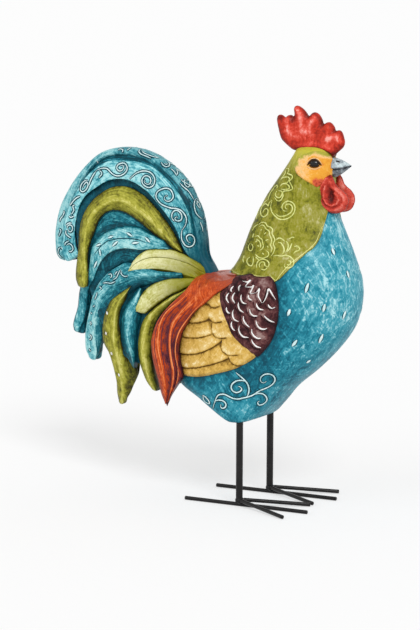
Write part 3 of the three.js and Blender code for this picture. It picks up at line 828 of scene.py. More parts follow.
SHORT_PALE_RIGHT = [
    (141, 289), (139, 296), (136.5, 303), (134, 312), (132.5, 322), (130.5, 333), (130, 343), (132, 356),
    (133.7, 367),
]
SHORT_RIGHT = [
    (144, 290), (142, 302), (141, 313), (140, 320), (137.5, 330), (136.5, 340), (136, 350), (136, 358),
    (134, 368),
]
INNER_LEFT = [
    (188, 287), (180, 291.5), (172, 295.5), (162, 302), (153, 308.8), (145, 317.5), (141, 326), (139, 335),
    (138, 345), (138.5, 355), (140.5, 365), (143.5, 374), (147, 382), (152, 389),
]
INNER_CREST = [
    (189, 288.5), (180, 293.5), (170, 299.5), (160, 306), (152.7, 313.5), (147.5, 322), (144, 332),
    (142.5, 342), (143, 353), (145, 364), (148, 375), (151, 384), (154.5, 389.5),
]
INNER_RIGHT = [
    (190, 291), (182, 296), (172, 304), (163, 312), (156.5, 320), (153, 329), (151.5, 340), (150.5, 352),
    (152, 363), (154, 375), (157, 386), (157.5, 389.5),
]
UPPER_LEAF_TOP = [
    (210, 271.5), (204.6, 267.5), (199.6, 263.6), (193, 259.5), (186.3, 255.5), (179.7, 252.2),
    (173, 249.8), (164, 248.5), (155.7, 247.8), (147.4, 249.3), (139, 254.7), (132.4, 262.2), (128.3, 270),
]
UPPER_LEAF_RIB = [
    (207, 274), (201, 271), (195, 267.5), (189, 264), (181.5, 261.3), (172, 258.8), (163, 257.6),
    (155, 257.4), (147, 258.4), (139, 261.5), (133, 265.5), (128.4, 270.8),
]
UPPER_LEAF_LOW = [
    (200, 280), (194.6, 278), (188, 276.2), (181.4, 274.4), (174, 272), (166.4, 270.3), (157.3, 269.2),
    (147.4, 269.4), (136.6, 270.7), (129.5, 271.8), (128.6, 271.3),
]
UPPER_LEAF_UNDER = [
    (200, 282), (194.6, 281.4), (188, 280), (181.4, 278.4), (174, 276.2), (166.4, 274.6), (157.3, 273.4),
    (147.4, 273.2), (136.6, 273.2), (130, 272.8), (128.8, 271.9),
]
LOWER_LEAF_TOP = [
    (199, 278), (191.5, 277.6), (185, 277.6), (178, 277.8), (169.8, 278.2), (161.5, 280.3), (153.2, 284),
    (146.5, 288.8), (140.7, 294.7), (136.6, 303), (135, 308), (136, 310.5),
]
LOWER_LEAF_LOW = [
    (192, 286), (186, 288), (179.7, 291.4), (173, 294), (166.4, 298), (157.3, 304.7), (150, 310),
    (146, 313.2), (142.4, 313.4), (139, 312.6), (137, 311.6),
]


def shifted(pixels, right, down):
    return [(u + right, v + down) for u, v in pixels]


def evenly_pixels(line, count):
    return [tuple(p)[:2] for p in evenly(smooth_pixels(line), count)]


def between(first, second, share):
    """A line of pixels part way between two others."""
    a, b = evenly_pixels(first, RAIL_STEPS), evenly_pixels(second, RAIL_STEPS)
    return [(lerp(p[0], q[0], share), lerp(p[1], q[1], share)) for p, q in zip(a, b)]


RIM_SPINE = [
    (-33, 163), (-38.5, 173.5), (-44.5, 184), (-46.2, 197), (-50, 214.4), (-62.4, 236.5), (-82.9, 253.2),
    (-106, 260.6), (-129.8, 256.8), (-148.2, 240), (-161.5, 217.2), (-167, 196), (-167.5, 173),
]
RIM_WIDTHS = [8, 7, 7, 8, 9.5, 8.5, 7, 6.5, 7, 10, 13.2, 13.4, 9.6]
RIM_TONES = (0.1, 0.25, 0.4, 0.48, 0.6, 0.66, 0.78, 0.85)
RIM_HALF = 8
RIM_SIDES = 40
RIM_STEPS = 140
RIM_CORNER = 0.8  # below 1 the section is fuller than an ellipse
RIM_TIP = 0.035  # the share of the length that rounds off the tip


def rim_plume():
    """The outer plume: a rounded section along a side-view curve on the mirror plane."""
    spine = evenly(rounded([Vector((x, 0, z)) for x, z in RIM_SPINE]), RIM_STEPS)
    widest = max(RIM_WIDTHS)
    rows = []
    for step, centre in enumerate(spine):
        ahead = (spine[min(step + 1, RIM_STEPS)] - spine[max(step - 1, 0)]).normalized()
        across = Vector((ahead.z, 0, -ahead.x))
        share = step / RIM_STEPS
        tone = value_along(RIM_TONES, share)
        width = value_along(RIM_WIDTHS, share)
        thick = RIM_HALF * min(1, 2 * width / widest)
        into_tip = max(0.0, (share - 1 + RIM_TIP) / RIM_TIP)
        shrink = math.sqrt(max(0.0, 1 - into_tip**2)) * 0.97 + 0.03
        row = []
        for side in range(RIM_SIDES):
            angle = math.tau * side / RIM_SIDES
            c, s = math.cos(angle), math.sin(angle)
            c, s = (math.copysign(abs(part) ** RIM_CORNER, part) for part in (c, s))
            point = centre + across * (c * width / 2 * shrink)
            row.append((point + Vector((0, s * thick * shrink, 0)), tone))
        rows.append(row)
    return skin_rows(new_shape(), rows)


CORE = [
    (-40, 140), (-42, 172), (-51, 186), (-53, 204), (-60, 224), (-74, 243), (-92, 254.5), (-108, 257.8),
    (-125, 254.8), (-140, 245.5), (-149.5, 230), (-153, 208), (-151, 188), (-144, 168), (-137, 148),
    (-126, 126), (-112, 108), (-98, 100), (-80, 99), (-62, 101), (-40, 104),
]
CORE_ROUNDING = 3
CORE_TONE = 0.35


def tail_core():
    """The web that carries the plumes, thinner towards its top, with rounded edges."""
    shape = new_shape()
    tone = shape.verts.layers.float["tone"]
    outline = rounded([Vector((x, -1, z)) for x, z in CORE], 4, closed=True)
    ring = [shape.verts.new(p) for p in outline]
    face = shape.faces.new(ring)
    made = bmesh.ops.extrude_face_region(shape, geom=[face])["geom"]
    bmesh.ops.translate(shape, verts=[v for v in made if isinstance(v, bmesh.types.BMVert)], vec=(0, 2, 0))
    for vertex in shape.verts:
        vertex.co.y *= core_half(vertex.co.z)
        vertex[tone] = CORE_TONE
    rims = [e for e in shape.edges if abs(e.verts[0].co.y - e.verts[1].co.y) < 4]
    bmesh.ops.bevel(
        shape, geom=rims, offset=CORE_ROUNDING, offset_type="OFFSET", segments=4, profile=0.5,
        affect="EDGES", material=-1,
    )
    bmesh.ops.triangulate(shape, faces=[f for f in shape.faces if len(f.verts) > 4])
    return tidy_shape(shape)


piece("tail_web", tail_core(), DEEP_TEAL, "deep_teal_paint", "tail_core")
piece("rim", rim_plume(), RIM_TEAL, "pale_teal_paint", "rim_plume")


def rooted(*depths):
    """Depths from a rail's root to its tip, of which the last one holds for the rest of the rail."""
    return depths + depths[-1:] * (RAIL_DEPTHS - len(depths))


def feather(name, material, slot, rails, free=0.0, dome=3.0):
    pair(f"{name}_feather", plume(rails, free, dome), material, slot, name)


# Each rail's tone is partly the plume's own paint, pale faces and darker edges, and partly painted light: low
# tones in the grooves and on flanks under the next plume are painted shade, and high tones on the crests are
# painted highlights.
feather(
    "upper_sickle", PLUME_TEAL, "pale_teal_paint",
    [
        (SICKLE_GROOVE, rooted(15.3, 12, 6.5, 5), 0.1),
        (between(SICKLE_GROOVE, SICKLE_OUTER, 0.3), rooted(15, 10.5, 5.5, 4.4), 0.06),
        (between(SICKLE_GROOVE, SICKLE_OUTER, 0.75), rooted(14.5, 7.5, 3.3, 2.4), 0.2),
        (SICKLE_OUTER, rooted(14, 5, 0.8, 0.2), (0.3, 0.6, 0.74, 0.74, 0.7)),
        (between(SICKLE_OUTER, SICKLE_INNER, 0.4), rooted(12, 2, 0, -0.3), (0.4, 0.55, 0.84, 0.8, 0.72)),
        (between(SICKLE_OUTER, SICKLE_INNER, 0.93), rooted(10, 1.5, 0.3, 0.1),
         (0.62, 0.56, 0.78, 0.76, 0.72)),
        (SICKLE_INNER, rooted(9, 2, 1), 0.3),
        (None, 3.2, 0.04),
        ([(200, 270), (190, 261), *OLIVE_OUTER[:21]], 5.2, 0.0),
    ],
    free=8.0,
)
feather(
    "olive_sickle", OLIVE, "olive_paint",
    [
        (OLIVE_OUTER, 4.5, 0.2),
        (between(OLIVE_OUTER, OLIVE_CREST, 0.25), 2.2, 0.36),
        (between(OLIVE_OUTER, OLIVE_CREST, 0.75), 0.3, 0.55),
        (OLIVE_CREST, 0.0, (0.85, 0.85, 0.8, 0.72, 0.68)),
        (between(OLIVE_CREST, OLIVE_INNER, 0.35), 0.9, 0.45),
        (between(OLIVE_CREST, OLIVE_INNER, 0.85), 3.2, 0.22),
        (OLIVE_INNER, 5.0, 0.05),
    ],
)
feather(
    "leafy_covert", COVERT_TEAL, "pale_teal_paint",
    [
        (WEB_TOP, 5.2, (0.3, 0.45, 0.4, 0.2, 0.2)),
        (between(WEB_TOP, WEB_LOW, 0.5), 4.6, (0.1, 0.32, 0.3, 0.2, 0.3)),
        (WEB_LOW, 4.0, 0.03),
        (LEAFY_TOP, 0.6, (0.5, 0.8, 0.65, 0.42, 0.62)),
        (between(LEAFY_TOP, LEAFY_LOW, 0.5), -0.1, (0.5, 0.82, 0.68, 0.45, 0.66)),
        (LEAFY_LOW, 0.2, (0.55, 0.84, 0.65, 0.3, 0.4)),
        (shifted(LEAFY_LOW, 0.8, 0.8), 2.0, 0.08),
        (between(LEAFY_LOW, SCROLLED_OUTER[:14], 0.5), 3.6, 0.16),
        (between(LEAFY_LOW, SCROLLED_OUTER[:14], 0.95), 4.8, 0.1),
    ],
    free=5.0,
)
feather(
    "scrolled_covert", COVERT_TEAL, "pale_teal_paint",
    [
        (shifted(SCROLLED_OUTER, -0.4, -0.6), 4.0, 0.1),
        (SCROLLED_OUTER, 1.4, (0.3, 0.8)),
        (between(SCROLLED_OUTER, SCROLLED_RIDGE, 0.5), 0.4, (0.4, 0.8)),
        (SCROLLED_RIDGE, -0.2, (0.5, 0.95)),
        (between(SCROLLED_RIDGE, SCROLLED_LOW, 0.3), 0.9, (0.3, 0.45)),
        (between(SCROLLED_RIDGE, SCROLLED_LOW, 0.8), 3.0, (0.1, 0.2, 0.28)),
        (SCROLLED_LOW, 4.8, 0.05),
    ],
    free=4.5,
)
feather(
    "olive_covert", OLIVE, "olive_paint",
    [
        (COVERT_OUTER, 4.2, 0.2),
        (between(COVERT_OUTER, COVERT_CREST, 0.3), 1.6, 0.42),
        (between(COVERT_OUTER, COVERT_CREST, 0.8), 0.2, 0.55),
        (COVERT_CREST, -0.1, 0.9),
        (between(COVERT_CREST, COVERT_INNER, 0.5), 1.6, 0.4),
        (COVERT_INNER, 4.2, 0.15),
    ],
    free=4.0,
)
feather(
    "short_covert", COVERT_TEAL, "teal_paint",
    [
        (SHORT_LEFT, 4.0, 0.1),
        (between(SHORT_LEFT, SHORT_PALE_LEFT, 0.8), 1.4, 0.3),
        (SHORT_PALE_LEFT, 0.7, 0.6),
        (between(SHORT_PALE_LEFT, SHORT_PALE_RIGHT, 0.5), 0.2, 0.76),
        (SHORT_PALE_RIGHT, 0.6, 0.55),
        (between(SHORT_PALE_RIGHT, SHORT_RIGHT, 0.6), 2.4, 0.2),
        (SHORT_RIGHT, 4.4, 0.05),
    ],
    dome=0.6,
)
feather(
    "inner_covert", OLIVE, "olive_paint",
    [
        (INNER_LEFT, 4.0, 0.25),
        (between(INNER_LEFT, INNER_CREST, 0.4), 1.2, 0.5),
        (INNER_CREST, 0.0, 0.9),
        (between(INNER_CREST, INNER_RIGHT, 0.5), 1.2, 0.5),
        (INNER_RIGHT, 4.0, 0.1),
    ],
    dome=1.5,
)
feather(
    "upper_leaf", LEAF_CREAM, "pale_olive_paint",
    [
        (UPPER_LEAF_TOP, rooted(12, 7.5, 4.2, 3.5), 0.25),
        (between(UPPER_LEAF_TOP, UPPER_LEAF_RIB, 0.12), rooted(11.5, 6, 2.2, 1.2), 0.55),
        (between(UPPER_LEAF_TOP, UPPER_LEAF_RIB, 0.6), rooted(10.5, 4.5, 0.6, -0.2), 0.8),
        (between(UPPER_LEAF_TOP, UPPER_LEAF_RIB, 0.93), rooted(9.5, 3.5, 0.4, 0), 0.8),
        (UPPER_LEAF_RIB, rooted(9.5, 4, 1.2, 0.7), 0.3),
        (between(UPPER_LEAF_RIB, UPPER_LEAF_LOW, 0.08), rooted(7, 2.5, 0.3, 0), 0.75),
        (between(UPPER_LEAF_RIB, UPPER_LEAF_LOW, 0.6), rooted(6, 2, 0.2, 0), 0.75),
        (between(UPPER_LEAF_RIB, UPPER_LEAF_LOW, 0.94), 0.8, 0.62),
        (UPPER_LEAF_LOW, 2.0, 0.15),
        (UPPER_LEAF_UNDER, 5.5, 0.0),
    ],
    dome=0.6,
)
feather(
    "lower_leaf", LEAF_CREAM, "pale_olive_paint",
    [
        (LOWER_LEAF_TOP, 3.5, 0.25),
        (between(LOWER_LEAF_TOP, LOWER_LEAF_LOW, 0.12), 0.8, 0.6),
        (between(LOWER_LEAF_TOP, LOWER_LEAF_LOW, 0.5), -0.3, 0.66),
        (between(LOWER_LEAF_TOP, LOWER_LEAF_LOW, 0.88), 0.8, 0.6),
        (LOWER_LEAF_LOW, 3.5, 0.1),
    ],
    dome=0.8,
)


# Forms that lie on the body are drawn by the photograph's pixels and cast onto what carries them
PROBES, PROBE_STEP, PROBE_REACH = 60, 3, 90


def seen_on(host, pixel):
    """Where the camera sees a surface through a pixel, and the surface's direction there.

    A pixel just outside the surface's outline gives the nearest point of it.
    """
    line = sight(pixel)
    point, normal, _, _ = host.ray_cast(LENS_AT, line)
    if point is None:
        places = (CAMERA_DISTANCE - PROBE_REACH + PROBE_STEP * step for step in range(PROBES))
        found = [host.find_nearest(LENS_AT + line * place) for place in places]
        point, normal, _, _ = min(found, key=lambda near: near[3])
    if normal.dot(line) > 0:
        normal = -normal
    return point, normal


SURFACE_ROWS, SURFACE_SIDES = 90, 120


def surface_of(skin):
    """A level-sliced surface as something that can be cast on."""
    rows = []
    for row in range(SURFACE_ROWS + 1):
        z = lerp(skin.levels[0], skin.levels[-1], row / SURFACE_ROWS)
        rows.append([(skin.point(z, math.tau * side / SURFACE_SIDES), 0) for side in range(SURFACE_SIDES)])
    return BVHTree.FromBMesh(skin_rows(new_shape(), rows))


BIRD_SURFACE = surface_of(BIRD)
DRAPE_SURFACE = surface_of(DRAPE)

# Saddle: the drape's left edge, three ridges with two valleys between them, and its right edge
SADDLE_LEFT = [
    (236, 274.4), (231, 273.8), (225, 272.8), (218, 270), (213, 268.4), (208, 269), (201, 273), (193, 280),
    (187, 288), (180, 295), (170, 304.5), (161, 315), (155, 325), (151, 338), (150.5, 346), (152.5, 362),
    (157, 380), (160, 392.5), (163, 401), (164.5, 404),
]
RIDGE_1 = [
    (236, 275.5), (225, 275.5), (212, 272.8), (204, 275.8), (196, 281), (190, 288), (186, 295),
    (178, 302.5), (170, 308.5), (163.5, 316), (159.5, 325), (158, 335), (157.5, 348), (159.5, 358),
    (162, 370), (164.5, 385), (165.5, 397), (165.3, 404),
]
VALLEY_1 = [
    (236, 276.5), (224, 279.5), (212, 280), (202, 284), (194, 292), (186, 301), (178, 309), (172, 316),
    (168, 322), (166, 330), (165, 340), (165, 350), (166.5, 360), (168, 370), (168.8, 381), (168, 392),
    (166.3, 403.5),
]
RIDGE_2 = [
    (236.5, 276.5), (224, 281.5), (213, 285), (205, 289), (198, 295), (190, 302.5), (182, 311),
    (175.5, 319), (172, 326), (170, 334), (169.5, 343), (170, 352), (171.5, 362), (173.2, 371), (173, 381),
    (170.5, 392), (167, 402.5),
]
VALLEY_2 = [
    (236.5, 277), (225, 284), (214, 289.5), (205, 297), (197, 304.5), (190, 312), (182.8, 320),
    (177.5, 328), (174.2, 336), (172.8, 345), (173, 353), (174.4, 362), (175.8, 370), (175.2, 380),
    (172, 391), (167.6, 401.5),
]
RIDGE_3 = [
    (237, 277.5), (226, 285), (217, 291.5), (209, 297.5), (203, 303), (194, 311), (187, 320), (180, 330),
    (176.8, 338), (175.2, 347), (175.2, 356), (176.8, 365), (178, 374), (176.3, 383), (172.8, 391.5),
    (168, 401),
]
SADDLE_RIGHT = [
    (237, 278), (233, 281.5), (227, 286), (219.5, 291), (212.5, 296), (206.5, 301.5), (200, 306.5),
    (194, 311.5), (189.5, 317.5), (185, 324), (180.5, 331), (178, 338), (176.3, 344.5), (175.8, 352),
    (176.4, 359), (177.8, 366), (179, 372), (179, 378.5), (175, 386.5), (170, 396.5), (168.3, 401),
]
SADDLE_STEPS = 150
SADDLE_THICKNESS, SADDLE_TIP = 8, 1.2
BACK_OVERLAP = 0.5
BACK_REACH = 0.3  # share of the saddle's length that lies over the back, where both halves meet
BACK_LOWEST = 168
BACK_RISE = 1.5


def saddle_half():
    # The rails' tones paint the saddle's light: dark purple-brown in the valleys and on the right edge is
    # painted shade, and the pale ridges are painted highlights.
    rails = [
        (SADDLE_LEFT, (0.0, -0.2, -0.6, -1.0), (0.45, 0.5, 0.35, 0.3)),
        (RIDGE_1, (0.2, 0.5, 0.6, 0.6, 0.2), (0.5, 0.62, 0.66, 0.76, 0.66)),
        (VALLEY_1, (0.0, -0.4, -2.2, -2.6, -0.8), (0.5, 0.6, 0.22, 0.05, 0.3)),
        (RIDGE_2, (0.4, 0.5, 0.6, 0.6, 0.2), (0.55, 0.66, 0.74, 0.82, 0.66)),
        (VALLEY_2, (0.0, -0.3, -2.0, -2.4, -0.6), (0.55, 0.6, 0.3, 0.08, 0.4)),
        (RIDGE_3, (0.2, 0.4, 0.4, 0.2, 0.0), (0.6, 0.7, 0.62, 0.7, 0.6)),
        (SADDLE_RIGHT, (-0.6, -0.6, -1.4, -1.4, -1.0), (0.5, 0.45, 0.3, 0.1, 0.35)),
    ]
    lines, shades = [], []
    for pixels, lifts, tones in rails:
        line = []
        for step, pixel in enumerate(evenly(smooth_pixels(pixels), SADDLE_STEPS)):
            point, normal = seen_on(DRAPE_SURFACE, pixel)
            line.append(point + normal * value_along(lifts, step / SADDLE_STEPS))
        lines.append(line)
        shades.append(tones)
    rows = []
    for step in range(SADDLE_STEPS + 1):
        share = step / SADDLE_STEPS
        front = [line[step] for line in lines]
        left, right = front[0], front[-1]
        on_back = DRAPE.point(max(left.z, BACK_LOWEST) + BACK_RISE, math.pi)
        on_back.y = BACK_OVERLAP
        thickness = lerp(SADDLE_THICKNESS, SADDLE_TIP, smoothstep(share, 0.8, 1))
        on_flank = Vector((left.x, min(left.y + thickness, -core_half(left.z)), left.z))
        first = on_back.lerp(on_flank, smoothstep(share, BACK_REACH * 0.6, BACK_REACH))
        tones = [value_along(tone, share) for tone in (shades[0], *shades)]
        row = section_through([first, *front], tones, SPAN_STEPS + 3)
        inner = right + Vector((0, thickness * 0.8, 0))
        inner_first = first.lerp(inner, 0.25) + Vector((0, 0, -3))
        inner_first.y = min(inner_first.y, -MIDDLE_GAP)
        row += [(point, BACK_SHADE_TONE) for point in (inner, inner.lerp(inner_first, 0.5), inner_first)]
        rows.append(row)
    return skin_rows(new_shape(), rows)


pair("saddle_half", saddle_half(), SADDLE_ORANGE, "orange_paint")
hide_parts("saddle")

# Wing: a panel of overlapping feathers. Each groove runs under the feather above it
WING_OUTLINE = [
    (183, 374.5), (190, 376), (198, 376.5), (207, 375.5), (216, 373.5), (225, 371.5), (234, 369),
    (242, 365.5), (250, 361), (256, 356.5), (260, 351), (254, 342), (245, 334), (238, 322), (232, 308),
    (228, 296), (223, 289), (216, 291), (209, 297), (202, 304), (194, 313), (187, 325), (180, 338),
    (177, 350), (177.5, 362), (180, 371),
]
WING_MIDDLE = (211, 340)
WING_GROOVES = [
    [(206, 303), (211, 304.5), (213, 307.2), (217, 307.8), (222, 305.5)],
    [(190, 322), (194, 322.8), (200, 322.5), (206, 321), (210.5, 319)],
    [(210.5, 317), (211, 319), (214, 321.5), (218, 322.5), (224, 321)],
    [(184, 336), (189, 337.2), (194, 337.6), (200, 337.5), (207, 336), (213, 333.8)],
    [(213.3, 325), (213, 329), (214, 333), (217, 336.5), (221, 338), (229, 337)],
    [(180, 352.5), (184, 353.3), (190, 354), (198, 353.5), (206, 351), (214, 347), (219, 343.5),
     (222.5, 340.5)],
    [(223, 339), (221.8, 343), (222, 347), (224, 351), (229, 354.2), (234, 354.8), (240, 354)],
    [(179, 365.5), (184, 366.5), (190, 367.5), (198, 367), (206, 365.5), (214, 363.5), (222, 361),
     (229, 358.3)],
    [(229, 355.5), (231, 360), (234, 363.3), (239, 365.2), (245, 364.8)],
]
SHOULDER_OUTLINE = [
    (237, 277), (245, 275.5), (252, 274), (256, 276.5), (262, 277), (270, 276.5), (273, 279), (275.3, 283),
    (277, 289), (278.2, 297), (278.8, 306), (278.6, 315), (277.5, 323), (275.5, 331), (273, 338),
    (269, 345), (264, 351), (259, 355.8), (256, 355.8), (251, 353.5), (248, 350), (243, 347), (239, 343),
    (235, 339), (231, 334), (228.5, 328), (227, 323), (225, 318), (222.5, 312), (221, 306), (220, 300),
    (220, 293), (225, 288), (230, 283.5),
]
SHOULDER_MIDDLE = (251, 312)
SHOULDER_STROKES = [
    [(233.5, 286), (231.5, 288.5), (231, 290.5), (232, 292)], [(240.5, 285), (238.8, 287.5), (239, 291)],
    [(229, 292.8), (227, 295.5), (226.5, 299), (228.8, 303)],
    [(235, 292.5), (233, 295.5), (232.5, 299), (235, 303.3)],
    [(241.5, 294.5), (240.8, 297.5), (241.3, 300.5), (243.3, 303), (246.5, 303.7)],
    [(248.8, 294.8), (248.3, 297), (249.5, 299), (252, 300.3)],
    [(226.5, 307), (226.5, 310), (228, 312.5), (230.3, 313.3)],
    [(233.5, 309.8), (232.5, 313), (233, 317), (235, 320), (238.5, 321.5)],
    [(238.5, 302), (238.3, 306), (240, 310), (243.7, 312.5)],
    [(243.3, 316), (243.5, 319.5), (245.5, 323.5), (249.5, 327.3)],
    [(231.8, 321.5), (231.2, 325), (232.5, 328.5), (235, 330.8)],
    [(239.3, 326), (238.8, 330), (240.5, 334), (243.5, 336.8), (248.5, 337.5)],
    [(249.5, 309), (250.5, 313), (253.5, 315.8), (257.5, 316)],
    [(256.3, 303), (257, 306), (259.5, 309), (263.5, 309.8)],
    [(256, 320.5), (256.7, 324), (259.5, 328), (263.5, 329.3), (267, 328.3)],
    [(251.8, 329), (251.8, 332.5), (254, 336), (257.5, 338.3), (261, 338.3)],
    [(251.5, 339.5), (253, 343), (256.5, 346.5), (261, 347.8)],
    [(264, 315.5), (266.5, 318.3), (270, 320.8), (274.5, 322.3)],
    [(268, 304.5), (269.3, 306.8), (272, 308.3), (275, 307.2)],
    [(242.5, 281), (245, 281.6), (247.5, 282), (250.8, 280), (248, 283), (245.3, 286.3)],
    [(245, 286.8), (249, 287), (252, 287), (253.8, 285), (252, 289), (250.3, 293.5), (253, 293.2),
     (256, 292.8)],
    [(256, 292.8), (258, 290.5), (259.5, 288.5), (258.8, 292), (258.3, 296), (260, 299.5), (261.8, 303)],
    [(262.5, 303), (264.5, 300.5), (266, 297.5), (267.5, 293), (268.8, 289), (272, 294), (275.5, 299.5)],
]
SHOULDER_PATCHES = [
    (254, 299, 7, 0.6), (252, 311, 6, 0.5), (265, 283, 6, 0.22), (262, 334, 4, 0.4), (236, 300, 4, 0.3),
    (246, 324, 4, 0.3),
]
PANEL_COLUMNS = 260
TO_MIDDLE = 0.985  # rings stop just short of their middle


def pad(host, outline, middle, relief, rings, columns=PANEL_COLUMNS, sink=1.6):
    """A panel on a host: rings of pixels from the outline in to the middle, raised by a relief of its own.

    relief(pixel, share in from the edge) gives the height and the tone.
    """
    edge = evenly(smooth_pixels(outline, closed=True), columns)
    centre = Vector((*middle, 0))
    under = []
    for pixel in edge:
        point, normal = seen_on(host, pixel)
        under.append((point - normal * sink, 0.1))
    rows = [under]
    for ring in range(rings + 1):
        share = ring / rings
        row = []
        for pixel in edge:
            at = pixel.lerp(centre, min(share, TO_MIDDLE))
            point, normal = seen_on(host, at)
            height, tone = relief(at, share)
            row.append((point + normal * height, clamp(tone)))
        rows.append(row)
    return skin_rows(new_shape(), rows)


def wing_relief(pixel, share):
    """Feathers step down to the left and below: high above a groove, low under it, with a painted shadow
    under each feather's edge and a painted highlight just above it.
    """
    height, tone = 3.1, 0.6
    for groove in WING_GROOVES:
        near, along, side = distance_to(groove, pixel.x, pixel.y)
        if near > 14:
            continue
        ends = smoothstep(along, -0.01, 0.1) * smoothstep(1 - along, -0.01, 0.06) * 0.7 + 0.3
        if side > 0:
            height -= 1.5 * math.exp(-near / 4.5) * ends
            # painted shadow cast by the feather above
            tone -= 0.3 * math.exp(-near / 2.2) * ends
        else:
            height -= 0.5 * math.exp(-near / 0.8)
            # painted highlight on the upper feather's rounded edge
            tone += 0.14 * hump(near - 3.5, 2.5)
        # a dark line along the groove: its brown paint and painted shade together
        tone -= 0.36 * hump(near, 0.8) * ends
    edge, _, _ = distance_to(WING_OUTLINE + WING_OUTLINE[:1], pixel.x, pixel.y)
    height *= 0.25 + 0.75 * smoothstep(edge, 0, 3)
    tone -= 0.25 * math.exp(-edge)
    return height, tone


def shoulder_relief(pixel, share):
    """Scales: each white stroke marks a scale's lower edge, with painted shade on its outer side and painted
    light on the scale within it.
    """
    height, tone = 4.0, 0.5
    for stroke in SHOULDER_STROKES:
        near, _, side = distance_to(stroke, pixel.x, pixel.y)
        if near > 7:
            continue
        if side > 0:
            height -= 0.9 * math.exp(-near / 1.8)
            # painted shade on the stroke's outer side
            tone -= 0.25 * math.exp(-near / 1.8)
        else:
            height += 0.5 * math.exp(-near / 2.5)
            # painted light on the scale within the stroke
            tone += 0.12 * math.exp(-near / 2.5)
    for u, v, reach, strength in SHOULDER_PATCHES:
        tone += strength * hump(math.hypot(pixel.x - u, pixel.y - v), reach)
    edge, _, _ = distance_to(SHOULDER_OUTLINE + SHOULDER_OUTLINE[:1], pixel.x, pixel.y)
    height *= 0.3 + 0.7 * smoothstep(edge, 0, 3.5)
    tone -= 0.35 * math.exp(-edge / 1.2)
    return height, tone


pair(
    "wing_panel", pad(BIRD_SURFACE, WING_OUTLINE, WING_MIDDLE, wing_relief, 76),
    WING_OCHRE, "ochre_paint", "wing",
)
pair(
    "shoulder_panel", pad(BIRD_SURFACE, SHOULDER_OUTLINE, SHOULDER_MIDDLE, shoulder_relief, 60),
    SHOULDER_MAROON, "maroon_paint", "wing_shoulder",
)


# Comb: lobes, thick in the middle and thin at their edges, with carved facets that carry painted highlights
COMB_OUTLINE = [
    (297.5, 150.6), (292.5, 149), (284.5, 142), (281.5, 138), (279.5, 131), (278, 124), (277.3, 118.5),
    (278.5, 115.3), (281, 114.5), (284, 116), (285.7, 117.8), (288, 115.5), (291, 114.8), (293.5, 116.5),
    (295, 118.8), (294.8, 113), (294.3, 108.5), (296, 105.8), (298, 105.6), (301, 107), (304.5, 110),
    (307.5, 114), (309, 117.5), (311, 114.5), (314, 112.3), (317, 112.8), (320, 115.3), (322.5, 120),
    (323.7, 124.5), (326, 123), (329, 122), (332, 123.5), (334.5, 127), (336, 131.5), (338, 130.3),
    (340.5, 130.5), (342.7, 133.5), (344, 138), (344.8, 142.5), (343.5, 147), (340, 150.5), (336, 154),
    (333, 157.5), (327, 156), (320, 153), (314, 151), (308, 151.8), (302, 152.4),
]
COMB_BASE = [
    (292, 151.6), (295.7, 150.4), (304.5, 149), (313, 147.8), (321, 149.3), (328, 152.3), (333.2, 155.5),
]
COMB_HALF = 4.4
COMB_ROUNDING = 5.5
COMB_FLARE = 6.4
COMB_TANG = 2.5
COMB_VOXEL = 0.75
COMB_LIT_FACETS = [
    [(303, 118), (304, 130)], [(306, 131), (312, 130), (314, 134)], [(311, 127), (316, 118)],
    [(330, 139), (335, 135)], [(338.5, 135), (341.5, 141)], [(289, 121), (291, 132)],
    [(299, 108), (302, 113)],
]
COMB_STEPS = 3
COMB_SEATED = 6  # the outline's last points, which lie in the head


def side_view(points):
    return [(point.x, point.z) for point in points]


